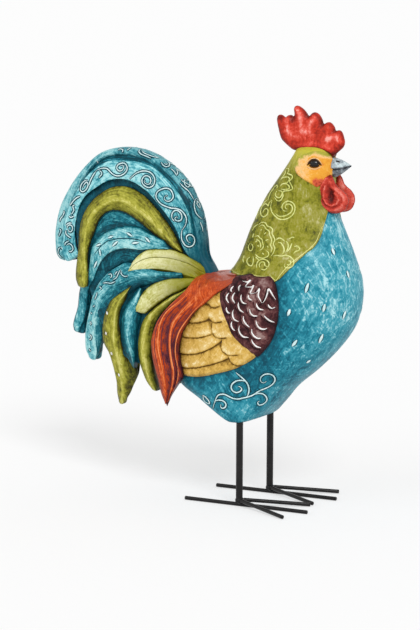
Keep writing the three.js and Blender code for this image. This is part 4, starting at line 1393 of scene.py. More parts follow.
def comb():
    """The comb's outline as a slab, remeshed and drawn in towards its edges."""
    outline = [spot(pixel, 0) for pixel in smooth_pixels(COMB_OUTLINE, COMB_STEPS, closed=True)]
    slab = bmesh.new()
    face = slab.faces.new([slab.verts.new((p.x, -COMB_HALF, p.z)) for p in outline])
    made = bmesh.ops.extrude_face_region(slab, geom=[face])["geom"]
    moved = [v for v in made if isinstance(v, bmesh.types.BMVert)]
    bmesh.ops.translate(slab, verts=moved, vec=(0, 2 * COMB_HALF, 0))
    bmesh.ops.triangulate(slab, faces=slab.faces)
    bmesh.ops.recalc_face_normals(slab, faces=slab.faces)
    mesh = bpy.data.meshes.new("comb_slab")
    slab.to_mesh(mesh)
    slab.free()
    block = add_object("comb_slab", mesh)
    remesh = block.modifiers.new("even_faces", "REMESH")
    remesh.mode = "VOXEL"
    remesh.voxel_size = COMB_VOXEL
    fine = bpy.data.meshes.new_from_object(block.evaluated_get(bpy.context.evaluated_depsgraph_get()))
    shape = new_shape()
    shape.from_mesh(fine)
    bpy.data.objects.remove(block)
    tone = shape.verts.layers.float["tone"]
    flow = shape.verts.layers.float_vector["flow"]
    edge = side_view(outline[: COMB_STEPS * (len(COMB_OUTLINE) - COMB_SEATED)])
    lit_facets = [side_view(spot(pixel, 0) for pixel in facet) for facet in COMB_LIT_FACETS]
    base = side_view(spot(pixel, -COMB_FLARE) for pixel in COMB_BASE)
    for vertex in shape.verts:
        x, z = vertex.co.x, vertex.co.z
        inside, _, _ = distance_to(edge, x, z)
        fall = min(1.0, inside / COMB_ROUNDING)
        height = COMB_HALF * math.sqrt(max(0.02, 1 - (1 - fall) ** 2))
        carve = noise.noise((x * 0.16, z * 0.16, 3.0)) * 0.9 + noise.noise((x * 0.4, z * 0.4, 8.0)) * 0.35
        lit = sum(hump(distance_to(facet, x, z)[0], 2) for facet in lit_facets)
        height *= 1 + 0.16 * carve + 0.1 * min(lit, 1)
        rise = z - height_on(base, x)
        flare = (1 - smoothstep(rise, 0.5, 6)) * (1 - smoothstep(x, base[-2][0], base[-1][0]))
        flare *= smoothstep(x, base[1][0], base[2][0])
        height = lerp(min(height, COMB_HALF + 0.8), COMB_FLARE, flare)
        height = lerp(height, COMB_TANG, smoothstep(-rise, 0, 1.2))
        vertex.co.y = math.copysign(height, vertex.co.y)
        in_root = 1 - smoothstep(rise, 0, 3)
        # The tone paints a highlight along each facet, and it is darker towards the comb's edges and its
        # root.
        vertex[tone] = 0.2 + 0.3 * fall + 0.42 * min(lit, 1) + 0.25 * carve - 0.25 * in_root
        vertex[flow] = (z, x, 0)
    bmesh.ops.smooth_vert(
        shape, verts=shape.verts, factor=0.5, use_axis_x=True, use_axis_y=True, use_axis_z=True
    )
    return shape


piece("comb_crest", comb(), COMB_RED, "red_paint", "comb")
NECK_SURFACE = HOSTS["neck"]

# Face: a painted patch round the eye, raised a little from the neck
FACE_OUTLINE = [
    (306, 153.5), (302.5, 155), (299, 157.5), (296.5, 161), (295, 166), (295.3, 170.5), (297.5, 174.5),
    (301, 177.6), (305, 180.4), (309, 182.6), (313, 185.2), (317, 187), (321, 185), (326, 181.5),
    (330.5, 178), (333, 173), (334.3, 167), (333.8, 161), (331, 156.5), (326, 153.5), (320, 151.5),
    (313, 151.5),
]
FACE_MIDDLE = (315, 167)


def face_relief(pixel, share):
    """Red towards the wattles, orange before the eye, peach behind it, and olive where it meets the crown."""
    u, v = pixel.x, pixel.y
    tone = 0.5 + 0.2 * (1 - smoothstep(u, 300, 314)) - 0.06 * smoothstep(u, 316, 328)
    low = smoothstep(v - 0.35 * (u - 318), 174, 182) * smoothstep(u, 309, 316)
    tone = lerp(tone, 0.12, low)
    crown = 1 - smoothstep(v - 0.2 * abs(u - 315), 151.5, 158.5)
    behind = (1 - smoothstep(u, 295.5, 300.5)) * (1 - smoothstep(v, 164, 171))
    tone = lerp(tone, 0.98, max(crown, behind))
    height = 0.8 * smoothstep(share, 0, 0.08) * smoothstep(v, 153, 163) + 0.12
    socket = math.hypot((u - 314.3) / 7.5, (v - 163.6) / 5.0)
    height -= 0.6 * hump(socket - 1, 1 / 3)
    return height, tone


FACE_PEACH = paint(
    "face_peach",
    [
        (0.03, "a33a26"), (0.16, "cf5a3c"), (0.36, "e0962f"),
        (0.52, "e8a63c"), (0.72, "f0c184"), (0.95, "a3a238"),
    ],
    blotch=0.4, mottle=0.5, streak=0.15, wash=0.2,
)
face = pad(NECK_SURFACE, FACE_OUTLINE, FACE_MIDDLE, face_relief, rings=40, columns=150, sink=0.8)
pair("face", face, FACE_PEACH, "olive_paint")
FACE_SURFACE = HOSTS["face_right"]


TUBE_SIDES = 8


def tube(shape, line, normals, widths, heights, tone):
    """A closed strand along points, with half widths and half heights along its share."""
    rows = []
    last = len(line) - 1
    for step, point in enumerate(line):
        ahead = (line[min(step + 1, last)] - line[max(step - 1, 0)]).normalized()
        side = normals[step].cross(ahead).normalized()
        out = ahead.cross(side).normalized()
        wide, high = value_along(widths, step / last), value_along(heights, step / last)
        row = []
        for corner in range(TUBE_SIDES):
            angle = math.tau * corner / TUBE_SIDES
            row.append((point + side * (wide * math.cos(angle)) + out * (high * math.sin(angle)), tone))
        rows.append(row)
    return skin_rows(shape, rows)


# Eye: a black bead in an almond of lids
EYE_PIXEL = (314.3, 163.4)
EYE_HALF = (3.9, 1.8, 2.6)
eye_at, eye_out = seen_on(NECK_SURFACE, EYE_PIXEL)
eye_shape = new_shape()
bmesh.ops.create_uvsphere(eye_shape, u_segments=40, v_segments=24, radius=1)
eye_turn = Vector((0, -1, 0)).rotation_difference(eye_out).to_matrix().to_4x4()
bmesh.ops.scale(eye_shape, vec=EYE_HALF, verts=eye_shape.verts)
bmesh.ops.transform(
    eye_shape, matrix=Matrix.Translation(eye_at - eye_out * 0.3) @ eye_turn, verts=eye_shape.verts
)
EYE_BLACK = paint(
    "eye_black",
    [(0.2, "050506"), (0.9, "121214")],
    blotch=0.2, mottle=0.1, streak=0.0, roughness=0.2, bump=0.05,
)
shader_inputs(EYE_BLACK)["Coat Weight"].default_value = 0.6
shader_inputs(EYE_BLACK)["Coat Roughness"].default_value = 0.05
pair("eye_bead", eye_shape, EYE_BLACK, "eye_black", "eye")

LID_DARK = paint("lid_dark", [(0.1, "120b08"), (0.8, "33200f")], streak=0.2)
LID_PALE = paint("lid_pale", [(0.1, "c98a4a"), (0.8, "f5cf98")], streak=0.2)
UPPER_LID = [
    (307.2, 165.4), (309.2, 163.1), (311.3, 161), (314.2, 160), (317, 160.8), (319, 163), (321.3, 165.4),
]
LOWER_LID = [(309, 164.8), (310.5, 165.8), (312.8, 166.6), (315.5, 166.7), (318, 165.8), (319.6, 164.8)]
PALE_LIDS = [
    [(305.8, 164.8), (308, 161.6), (310.8, 159.2), (314.2, 158.3), (317.6, 159.3), (320.2, 162),
     (322.4, 165)],
    [(306.4, 166.4), (309, 167.7), (312.5, 169), (316, 169), (319.5, 167.4), (322, 166.2)],
]


STRAND_STEP = 0.9  # pixels between a strand's rows
STRAND_TONE = 0.6


def strand_on(shape, host, pixels, half_width, height, lift=0.0, taper=0.25, profile=None):
    """A painted or carved line: a low ridge that follows a host under the pixels."""
    guide = smooth_pixels(pixels)
    length = sum((b - a).length for a, b in zip(guide, guide[1:]))
    count = max(4, int(length / STRAND_STEP))
    line, normals = [], []
    for pixel in evenly(guide, count):
        point, normal = seen_on(host, pixel)
        line.append(point + normal * lift)
        normals.append(normal)
    for _ in range(2):
        normals = [
            (normals[max(i - 1, 0)] + normal + normals[min(i + 1, count)]).normalized()
            for i, normal in enumerate(normals)
        ]
    profile = profile or (taper, 1, 1, 1, 1, 1, taper)
    widths = [half_width * share for share in profile]
    heights = [height * share for share in profile]
    tube(shape, line, normals, widths, heights, STRAND_TONE)


lids_dark, lids_pale = new_shape(), new_shape()
strand_on(lids_dark, FACE_SURFACE, UPPER_LID, 0.85, 0.8, lift=0.15)
strand_on(lids_dark, FACE_SURFACE, LOWER_LID, 0.7, 0.5, lift=0.1)
for lid in PALE_LIDS:
    strand_on(lids_pale, FACE_SURFACE, lid, 0.6, 0.6)
pair("eye_rim", lids_dark, LID_DARK, "olive_paint")
pair("eyelids", lids_pale, LID_PALE, "olive_paint")

# Beak: an upper half over a lower one, parted by the mouth line
BEAK_ROOT, BEAK_TIP = 54.0, 77.0
BEAK_STEPS, BEAK_SIDES = 60, 72
BEAK_TOP = [263.4, 263.4, 263.2, 262.6, 261.4, 259.8, 257.6]
BEAK_LOW = [247, 247.3, 247.8, 248.8, 251.0, 253.8, 256.8]
BEAK_HALF = [6.6, 6.9, 6.8, 5.4, 3.6, 1.7, 0.35]
MOUTH = [254.3, 254.3, 254.4, 254.7, 255.3, 256.1, 257.2]


def beak():
    rows = []
    for step in range(BEAK_STEPS + 1):
        share = step / BEAK_STEPS
        x = lerp(BEAK_ROOT, BEAK_TIP, share)
        top, low = value_along(BEAK_TOP, share), value_along(BEAK_LOW, share)
        half, mouth = value_along(BEAK_HALF, share), value_along(MOUTH, share)
        middle, tall = (top + low) / 2, (top - low) / 2
        row = []
        for side in range(BEAK_SIDES):
            angle = math.tau * side / BEAK_SIDES
            y, z = half * math.cos(angle), middle + tall * math.sin(angle)
            gap = (z - mouth) / 0.55
            inset = 1 - 0.2 * math.exp(-gap * gap)
            tuck = 0.9 if z < mouth else 1.0
            # The upper half is paler than the lower, with painted shade along the mouth line's crease and a
            # painted highlight towards the top.
            tone = (0.75 if z > mouth else 0.38) - 0.6 * math.exp(-gap * gap * 0.6)
            tone += 0.1 * smoothstep(z, middle, top)
            row.append((Vector((x, y * inset * tuck, z)), clamp(tone)))
        rows.append(row)
    return skin_rows(new_shape(), rows)


BEAK_GREY = paint(
    "beak_grey",
    [(0.05, "2a2d31"), (0.35, "686d73"), (0.62, "919da3"), (0.92, "c6d4d6")],
    blotch=0.8, mottle=1.2, streak=0.6, roughness=0.34,
)
piece("bill", beak(), BEAK_GREY, "grey_paint", "beak")
nostril = new_shape()
strand_on(nostril, HOSTS["bill"], [(335.5, 161.3), (338, 161.2), (340, 162.6)], 0.55, 0.35)
pair("nostril", nostril, LID_DARK, "grey_paint")

# Wattles: lobes with curled ridges, splayed from the throat
WATTLE_OUTLINE = [
    (330.5, 175), (325, 177), (320.5, 182), (318, 188), (317.3, 194), (317.8, 200), (320, 205),
    (323.5, 209.5), (328, 212.5), (333, 213.8), (339, 213.2), (344, 211), (346.8, 207), (348.2, 201.5),
    (347, 196), (343.5, 191.5), (339, 188), (335.5, 184), (333.5, 179.5),
]
WATTLE_MIDDLE = (332.5, 198)
WATTLE_FOLD = [
    (326, 178.5), (322.3, 184), (319.9, 190), (319.5, 197), (321.8, 203), (325.8, 207.8), (331, 210.4),
    (337, 210.2), (342, 207), (345, 202.5), (344.6, 197.5), (341.5, 193.3), (337, 190), (333, 187),
    (330.8, 181),
]
WATTLE_CURL = [
    (326.3, 186), (324.3, 192), (324.6, 198.5), (327.8, 203.6), (332.5, 205.6), (337.5, 203.8),
    (339.8, 200), (338.4, 195.8), (335.2, 193.4),
]
WATTLE_ROOT = Vector((61, -8.5, 0))
WATTLE_SPLAY = 0.12
WATTLE_HALF = 3.6
WATTLE_RINGS, WATTLE_COLUMNS = 44, 150
WATTLE_OUT = Vector((math.sin(WATTLE_SPLAY), -math.cos(WATTLE_SPLAY), 0))


def on_wattle(pixel):
    """The point of the wattle's middle plane that a pixel shows."""
    line = sight(pixel)
    return LENS_AT + line * ((WATTLE_ROOT - LENS_AT).dot(WATTLE_OUT) / line.dot(WATTLE_OUT))


def wattle():
    edge = evenly(smooth_pixels(WATTLE_OUTLINE, closed=True), WATTLE_COLUMNS)[:-1]
    centre = Vector((*WATTLE_MIDDLE, 0))
    rows = []
    for ring in range(-WATTLE_RINGS, WATTLE_RINGS + 1):
        share = 1 - abs(ring) / WATTLE_RINGS
        hand = 1 if ring >= 0 else -1
        row = []
        for pixel in edge:
            at = pixel.lerp(centre, TO_MIDDLE * (1 - share)) if share < 1 else pixel
            dome = WATTLE_HALF * math.sqrt(max(0.0, 1 - share**3.2))
            tone = 0.7
            if hand > 0:
                fold = hump(distance_to(WATTLE_FOLD, at.x, at.y)[0], 2.1)
                curl = hump(distance_to(WATTLE_CURL, at.x, at.y)[0], 1.3)
                hollow = hump(math.hypot((at.x - 332) / 3.4, (at.y - 195) / 7), 1)
                dome += 1.6 * fold + 1.5 * curl - 2.2 * hollow - 1.3
                # The tone paints highlights along the fold and the curl, and shade in the hollow.
                tone += 0.3 * fold + 0.36 * curl - 0.5 * hollow - 0.3
            row.append((on_wattle(at) + WATTLE_OUT * (hand * dome), clamp(tone)))
        rows.append(row)
    return skin_rows(new_shape(), rows)


WATTLE_RED = paint(
    "wattle_red",
    [(0.03, "4a100d"), (0.25, "84231a"), (0.46, "b43529"), (0.68, "d25242"), (0.92, "e98c80")],
    blotch=0.6, mottle=0.7, streak=0.15, roughness=0.34,
)
pair("wattle_lobe", wattle(), WATTLE_RED, "red_paint", "wattle")

# Legs: lacquered wire, with a bead of weld where the toes cross
WIRE_BLACK = paint(
    "wire_black",
    [(0.1, "0d0c0c"), (0.55, "1a1818"), (0.95, "353132")],
    blotch=0.5, mottle=0.5, streak=0.3, roughness=0.34, bump=0.25,
)
shader_inputs(WIRE_BLACK)["Specular IOR Level"].default_value = 0.22
WIRE_SIDES = 28
LACQUER = 1.06  # the leg's lacquer makes it a little thicker than its wire
LEG_RADIUS, TOE_RADIUS = 2.5, 1.5
WIRE_EDGE = 0.35
WIRE_STEP = 1.2
WIRE_UNEVEN = 0.03


def wire(start, end, radius):
    """A straight cut wire with broken edges and a slightly uneven coat."""
    start, end = Vector(start), Vector(end)
    length = (end - start).length
    count = max(12, int(length / WIRE_STEP))
    ahead = (end - start).normalized()
    side = ahead.orthogonal().normalized()
    out = ahead.cross(side)
    places = [(0, radius - WIRE_EDGE), (WIRE_EDGE, radius)]
    places += [(lerp(WIRE_EDGE, length - WIRE_EDGE, k / count), radius) for k in range(1, count)]
    places += [(length - WIRE_EDGE, radius), (length, radius - WIRE_EDGE)]
    rows = []
    for place, wide in places:
        row = []
        for k in range(WIRE_SIDES):
            angle = math.tau * k / WIRE_SIDES
            c, s = math.cos(angle), math.sin(angle)
            uneven = 1 - WIRE_UNEVEN * (0.5 + 0.5 * noise.noise((place * 0.35, 2 * c, 2 * s)))
            offset = (side * c + out * s) * wide * uneven
            row.append((start + ahead * place + offset, 0.5))
        rows.append(row)
    return skin_rows(new_shape(), rows)


def drawn_box(node):
    """The two corners of a node's box, in drawn millimetres."""
    return [Vector(((c.x - LEG_X) / MM, c.y / MM, c.z / MM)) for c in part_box(node)]


LEG_TUCK = 4  # the wire ends this far below the top of its bore
TOE_INSET = 0.8

low, high = drawn_box("leg_right")
pair(
    "leg_wire", wire((0, LEG_Y, low.z), (0, LEG_Y, high.z - LEG_TUCK), LEG_RADIUS * LACQUER),
    WIRE_BLACK, "black_wire", "leg",
)
low, high = drawn_box("long_toe_right")
pair(
    "long_toe_wire", wire((low.x, LEG_Y, TOE_RADIUS), (high.x, LEG_Y, TOE_RADIUS), TOE_RADIUS),
    WIRE_BLACK, "black_wire", "long_toe",
)
for name, outwards in (("inner_toe", False), ("outer_toe", True)):
    low, high = drawn_box(f"{name}_right")
    near, far = low.y + TOE_RADIUS, high.y - TOE_RADIUS
    if outwards:
        near, far = far, near
    pair(
        f"{name}_wire",
        wire(
            (low.x + TOE_INSET, near, high.z - TOE_RADIUS), (high.x - TOE_INSET, far, low.z + TOE_RADIUS),
            TOE_RADIUS,
        ),
        WIRE_BLACK, "black_wire", name,
    )

WELD_HALF = (3.6, 3.4, 2.9)
WELD_FORWARD, WELD_DROP = 0.6, 0.4
WELD_BUMP = 0.1
weld = new_shape()
bmesh.ops.create_icosphere(weld, subdivisions=5, radius=1)
bmesh.ops.scale(weld, vec=WELD_HALF, verts=weld.verts)
for vertex in weld.verts:
    vertex.co *= 1 + WELD_BUMP * noise.noise(vertex.co * 0.45)
low, high = drawn_box("foot_weld_right")
bmesh.ops.translate(weld, verts=weld.verts, vec=(WELD_FORWARD, LEG_Y, (low.z + high.z) / 2 - WELD_DROP))
pair("weld_bead", weld, WIRE_BLACK, "black_wire", "foot_weld")

# Painted and carved lines. Each is drawn through the photograph's pixels
RIM_SCROLLS = [
    [(118, 150.5), (120, 149), (123, 150), (122, 152.5)], [(127, 150.5), (129, 149), (131, 147.8)],
    [(141, 149.3), (139.6, 150), (139, 152), (141.4, 154.3), (145.7, 156), (151.4, 158.6)],
    [(141.8, 150.4), (143.2, 152.5), (146.4, 154.3), (153.6, 156.8), (159.3, 158.2)],
    [(161, 162), (163, 165), (165.7, 166.8), (169, 166), (169, 163), (167, 161.4)],
    [(164, 163.6), (166.4, 164.6), (167, 163.6)], [(170.7, 168.6), (174, 171.5), (177, 176)],
    [(176, 169.3), (177.5, 172), (177, 175)],
    [(187, 178), (189.3, 181.4), (189.6, 185.7), (187, 187), (184.3, 183.6), (184.3, 180), (186.8, 181.4)],
    [(180, 183), (183.6, 187), (188.6, 191.4), (191.4, 195.7), (193.6, 199.3)],
    [(195.7, 198.6), (194.3, 202), (194.3, 207), (196, 213), (199.3, 217), (202, 219.3)],
    [(196.4, 200.7), (199.3, 203.6), (200, 208.6)], [(200, 222), (202, 227), (203, 232)],
    [(97, 161), (98.5, 163.5), (96.5, 164)],
    [(63.2, 210.7), (64.3, 212), (63, 215.7), (60.7, 218.6), (59.6, 222)],
    [(59.3, 228.6), (61, 230.4), (60, 233.6), (58.6, 236.4)],
    [(61, 246.8), (58.6, 249.3), (58.2, 253.6), (60.7, 257), (62.5, 258)],
    [(61.4, 247), (62.2, 248.5), (62.5, 250)],
]
SICKLE_SCROLLS = [
    [(95.7, 171.4), (98.6, 169.3), (103, 168.2), (107, 168.6), (110, 171.4), (113, 174.3), (116.4, 175.7),
     (120, 175.7), (124.3, 173.6), (127, 170), (127, 166.4), (125, 163.6), (121.4, 163.2), (118, 165),
     (116.8, 168), (118.6, 170.7), (121.4, 170.7), (123.6, 168.2), (123, 165.4), (120.4, 165.7)],
    [(99.3, 170.7), (101.4, 172), (101.8, 174.3), (100, 176.4), (99, 178)],
    [(129.6, 179), (133, 175.7), (136.4, 173.2), (140.7, 171.4), (145, 171), (149.3, 172), (153, 175),
     (154.6, 178.6), (154.6, 182), (153, 185.7), (149.3, 187.5), (145.7, 186.4), (143, 184), (142, 180.4),
     (143.6, 177), (146.4, 175.7), (149.6, 177), (151, 180.4), (150, 183.6), (147, 184.3), (144.3, 182),
     (145, 179.3)],
    [(168, 196.4), (165.7, 195.7), (164.3, 198.6), (166.4, 201), (170, 201), (173, 198), (173, 194.3),
     (170.7, 190), (166.4, 188.2), (161.4, 189.3), (157.5, 191.8), (156, 195.7), (157, 199.3),
     (160.7, 203.6), (165, 206), (170.7, 208), (176.4, 208.6), (181.4, 210.7), (185, 215), (186.4, 219.3),
     (185.7, 224.3), (183.6, 228), (182, 230)],
    [(178.2, 217.5), (176, 217), (175, 219.3), (178, 221), (181, 220), (182, 217), (180.7, 213),
     (177, 210.4), (173.6, 211.4), (171.8, 215), (172.5, 219), (175, 221.4)],
    [(182, 230), (181.4, 235), (182, 240), (185, 245), (189.3, 246.8), (193.2, 245), (194.6, 240.7),
     (193.2, 236.4), (189.6, 234.6), (186.4, 237), (188, 241.4), (190.7, 243)],
    [(88, 180), (85, 180.7), (82, 183.6), (80.7, 187), (80.4, 190), (82.5, 191.8), (85.7, 190), (88, 185.7),
     (87, 182), (84.3, 184.3), (82.5, 188)],
    [(95.7, 171.4), (93, 175.7), (90.7, 180), (88.6, 185.7)],
    [(80.4, 196), (76.4, 198), (73, 201.4), (70, 205.7)],
    [(75, 205), (73, 205.7), (73.2, 208), (74, 210), (72, 213.6), (70.7, 213.6)],
    [(69, 215.7), (70.7, 217.5), (74, 216)], [(66, 225.4), (68.6, 223.2), (72, 223.2)],
    [(67.5, 228.6), (68, 225.7), (70.4, 225), (72.5, 227), (72, 230.7), (69.6, 231.8), (68.2, 229.3)],
    [(66, 230), (66, 233.6), (68.6, 236.4), (71.4, 238)], [(65, 245.7), (65.4, 243), (69.3, 240.7)],
    [(67, 245), (69.3, 243.6), (72, 245.7), (73, 249.3), (70.7, 251.8), (68.6, 250.7)],
]
LEAFY_VINE = [
    (92.9, 255.7), (97, 250.7), (101.4, 245.7), (107, 241.4), (113, 239.6), (118.6, 238.6), (125.7, 238.4),
    (133, 238.9), (139.5, 240), (145.7, 242.9),
]
LEAFY_LEAVES = [
    [(108, 238), (113.5, 236)], [(126.5, 232.5), (132.5, 236.5)], [(112, 246.5), (118, 241)],
    [(131.5, 243.3), (139, 242.5)], [(96, 246), (101, 244)], [(99.5, 249), (100.5, 256)],
    [(145, 237), (150, 242.5)], [(94, 268), (97, 261)],
]
SCROLLED_SCROLLS = [
    [(121.4, 271), (121.4, 274), (124.5, 276.4), (128, 276)],
    [(120.5, 269.5), (118.6, 273.2), (116.4, 277.7), (112.7, 280)], [(117.3, 271.4), (114.5, 275)],
    [(108, 274.5), (111, 274), (111.8, 276.4), (110, 278.2)],
    [(102.7, 283.2), (106.4, 282.7), (111, 283.2), (115.5, 281.4)],
    [(99, 286.8), (101.4, 287.7), (100.5, 289.5)], [(97.3, 292.3), (96, 296.8), (94.5, 299.5)],
    [(92.7, 306.8), (95, 305.5)], [(90.5, 312.3), (92.3, 314)], [(90, 321.4), (91.4, 323.2), (90, 325)],
    [(89.5, 334.5), (91.4, 336), (91, 339), (89, 339.5)], [(88.6, 348.6), (91, 351.4)],
]
COVERT_DOTS = [(107, 313), (106, 333.5), (111.5, 353.5), (119, 375)]
NECK_LACE = [
    [(285.2, 169), (288.4, 168.4), (288.8, 171.3), (287.4, 173.4), (291.6, 175.2), (292.4, 177.7),
     (290.6, 180), (289.5, 181.6), (291.6, 185.6), (292.4, 189), (288.4, 190.6), (283.8, 191.3),
     (282.7, 193.4), (283, 196.3), (281, 200), (278.8, 201), (276.3, 200), (274.5, 197)],
    [(285.2, 170.6), (285.6, 172.7), (283.4, 176), (280.6, 180)],
    [(281.3, 178.8), (284, 177.4), (287.7, 177), (289.5, 178.8), (288.4, 181.3), (286.6, 183),
     (283.4, 183.4)],
    [(280.2, 186.3), (282.7, 183.8), (286.6, 184), (289.5, 187), (288.4, 189), (284, 189.5), (280.6, 189)],
    [(278.4, 190.6), (281.6, 191.3), (282, 194), (280.6, 197), (278.4, 197.7), (276, 196.3), (275.6, 193.4),
     (277, 191)],
    [(275.6, 187), (276.6, 185), (277.7, 186.3), (276.6, 188.4)],
    [(275.2, 185.6), (273.4, 189), (272, 190.6), (270.6, 192.7), (269, 196.3), (267.7, 200.6)],
    [(272, 200), (270.8, 206), (271.5, 211), (274.5, 215.5), (279, 219), (284, 219.5), (289.5, 217.5),
     (293.5, 213.5), (295, 208.5), (294, 204.3), (291, 201.8), (287.5, 201.3), (284, 203), (282.2, 206),
     (282.3, 209), (284.5, 211), (287.5, 211)],
    [(275.5, 213.5), (278.5, 216), (283, 216.3), (288, 214.5), (291.5, 211.5), (292.5, 208), (291, 205),
     (288, 204), (285.5, 205.5), (285.5, 208), (287.5, 209.5)],
    [(272, 200), (269, 203), (268.5, 206), (266, 203.8), (263, 205.5), (261, 209.5), (260.8, 214),
     (263, 216.8), (266.3, 215.5), (268.2, 211.5), (266.5, 208.5), (264, 210), (263, 213)],
    [(267, 200), (264, 203), (260, 208), (257.5, 214), (256.5, 219)],
    [(258.5, 224.5), (262, 222.3), (265.5, 223), (267.5, 226), (270.5, 227.3), (272.5, 229.5), (272, 233),
     (273.5, 236.5), (274.8, 240), (273.3, 244), (274.8, 248), (273.5, 252.5), (271, 256)],
    [(259, 227), (262, 225), (264.5, 226.3), (266, 229), (269, 231), (269.5, 234.5), (271, 238),
     (271.8, 241.5), (270.5, 245), (272, 249), (270.5, 253)],
    [(255, 236.5), (258, 235.8), (260, 238), (262, 239.5), (262.5, 242.5), (263.5, 246), (262, 249),
     (259.5, 250.5)],
    [(256, 239), (259, 241), (260.5, 244), (260.5, 248)], [(260.5, 230.5), (262, 229.5)],
    [(264, 234.5), (266, 232.5)], [(265.5, 240.5), (268.5, 239.5)], [(267, 246), (268.5, 247.5)],
    [(262, 253), (264, 254.5)], [(255.5, 241.8), (257, 241)], [(257.5, 245.5), (259, 246.5)],
    [(250.5, 243), (248.5, 246), (249, 250), (251.5, 250.5), (253, 247), (251.5, 243.5)],
    [(252, 231), (255, 226.5), (258, 224.5)], [(252.5, 238), (254, 233)],
    [(255, 254), (259, 257.5), (264, 258), (268, 256), (268.5, 252.5), (266, 250.5)],
    [(255.5, 257), (259, 260)],
    [(256.5, 268), (256.8, 264), (259, 260.5), (263, 259.2), (267, 260.5), (269, 263.5), (268.3, 266.5),
     (266, 267)],
    [(260, 267.5), (259.3, 264.5), (261.5, 262), (264.3, 262.5), (265, 265.5), (267, 266.5)],
    [(261, 269), (264.5, 270), (267, 268)],
    [(250, 257), (247.5, 259), (247, 262.5), (249.5, 265.5), (252, 265.5), (253.3, 261), (253, 256)],
    [(244.5, 255), (243, 259.5), (243.8, 262.5)],
    [(273, 256), (277, 255.5), (281, 256), (286, 255.5), (290.5, 257), (293.5, 260.5), (293.5, 264.5),
     (291, 267.3), (287.5, 268), (284.5, 266.5), (284.3, 263.8)],
    [(288, 260.5), (290.5, 261.5), (290.3, 264), (288.3, 265), (286.8, 264)],
    [(276, 240), (279, 238), (282, 239), (285, 241.5)],
    [(278, 242.5), (281, 243), (283.5, 247), (284, 251.5), (282, 254.5)],
    [(289, 239), (292, 237.3), (294.5, 237.5)],
    [(294, 247), (297, 246), (299.5, 248), (298.5, 250.5), (295.5, 251.5), (293.5, 254)],
    [(286, 241), (288, 244), (288, 248), (286, 252)], [(287, 252), (290, 248), (292, 243)],
]
CAPE_CREST = [
    (238, 275.4), (244, 275.3), (250, 274.3), (258, 276.2), (270, 276.8), (275.5, 280.5), (279, 276.5),
    (283, 271.5), (287.5, 266.5), (293, 261.5), (299, 257), (305, 252.3), (311, 247.5), (316, 241.5),
    (319.3, 234), (322.3, 226),
]
BELLY_VINE = [
    [(213, 408.5), (214.5, 403), (217.5, 396), (221, 394.3), (225, 394.5), (229, 396.5), (233, 398.3),
     (238, 399), (243, 398), (248, 396.8), (252, 395.5), (256, 393), (260, 390.5), (265, 388.5), (270, 386),
     (273.5, 383), (275, 379.5), (273.5, 376), (269.5, 374), (265, 374.3), (261.5, 376.5), (260.3, 379.5),
     (261.3, 382), (264, 382.8), (266.3, 381.3)],
    [(254, 394.5), (259, 393.3), (263, 394), (266, 396.5), (266.8, 400), (264.5, 403), (261, 404.8),
     (258.3, 404.5), (257.8, 402), (259.5, 401)],
    [(236, 372.5), (239.5, 375.5), (243.5, 379), (247, 383), (248.8, 387.5), (248.8, 392), (247, 397)],
    [(247, 382), (242, 380.4), (236.4, 381), (232, 384.3), (231.4, 388.6), (233.6, 391.4), (236.4, 392.5),
     (240, 391.4), (241.8, 389), (240, 386.8), (238, 386.4)],
    [(215, 401), (219, 400), (223, 400.8), (225.8, 403.5), (225.5, 406.8), (222.8, 408.3), (220.8, 407),
     (221, 404.5)],
    [(203, 395), (206, 397.3), (209, 401), (209.5, 403.5), (206.5, 402.5), (203.8, 399.5), (203, 395)],
]
BREAST_SEEDS = [
    (332, 248, 334.5, 255), (308.5, 283, 305.3, 293), (347, 270.5, 349, 278), (290.2, 309, 287.6, 316),
    (325, 304, 323, 312), (345.6, 311, 343, 319), (323, 334, 319, 343), (297, 340, 292, 346.5),
    (310.5, 360, 306.5, 363),
]
SADDLE_STRANDS = [
    between(RIDGE_1, VALLEY_1, 0.5), between(VALLEY_1, RIDGE_2, 0.45), between(RIDGE_2, VALLEY_2, 0.55),
    between(VALLEY_2, RIDGE_3, 0.5), between(RIDGE_3, SADDLE_RIGHT, 0.5), between(SADDLE_LEFT, RIDGE_1, 0.55),
]
STRAND_FROM, STRAND_TO = 7, 23

SCROLL_PALE = paint(
    "scroll_pale", [(0.1, "7fb4bd"), (0.45, "bfe0e2"), (0.85, "e2f3f2")], streak=0.2, mottle=1.2, wash=0,
)
SCROLL_WASH = paint("scroll_wash", [(0.1, "04242d"), (0.8, "12505e")], streak=0.2, mottle=1.0, wash=0)
LACE_YELLOW = paint(
    "lace_yellow", [(0.1, "a5ac45"), (0.5, "ccd07a"), (0.85, "e0e39c")], streak=0.2, mottle=1.3, wash=0,
)
STROKE_WHITE = paint(
    "stroke_white", [(0.1, "aeaaa5"), (0.5, "e2e0dc"), (0.85, "f6f7f5")], streak=0.2, mottle=1.3, wash=0,
)
PURPLE_LINE = paint("purple_line", [(0.1, "3d1a26"), (0.8, "6f3340")], streak=0.4, mottle=1.0, wash=0)
ORANGE_GLEAM = paint("orange_gleam", [(0.1, "dd6a30"), (0.8, "f0945a")], streak=0.4, mottle=1.2, wash=0)
CREST_GLEAM = paint("crest_gleam", [(0.1, "b5b14c"), (0.8, "dedb8e")], streak=0.4, mottle=1.4, wash=0)
SEED = (0.25, 0.85, 1.0, 0.85, 0.25)
STRAND = (0.1, 0.8, 1.0, 0.8, 0.1)


def lines_on(name, host, lines, material, slot, half_width, height, taper=0.35, profile=None):
    """A pair of pieces made of strands laid on one host."""
    shape = new_shape()
    for line in lines:
        strand_on(shape, HOSTS[host], line, half_width, height, taper=taper, profile=profile)
    pair(name, shape, material, slot)


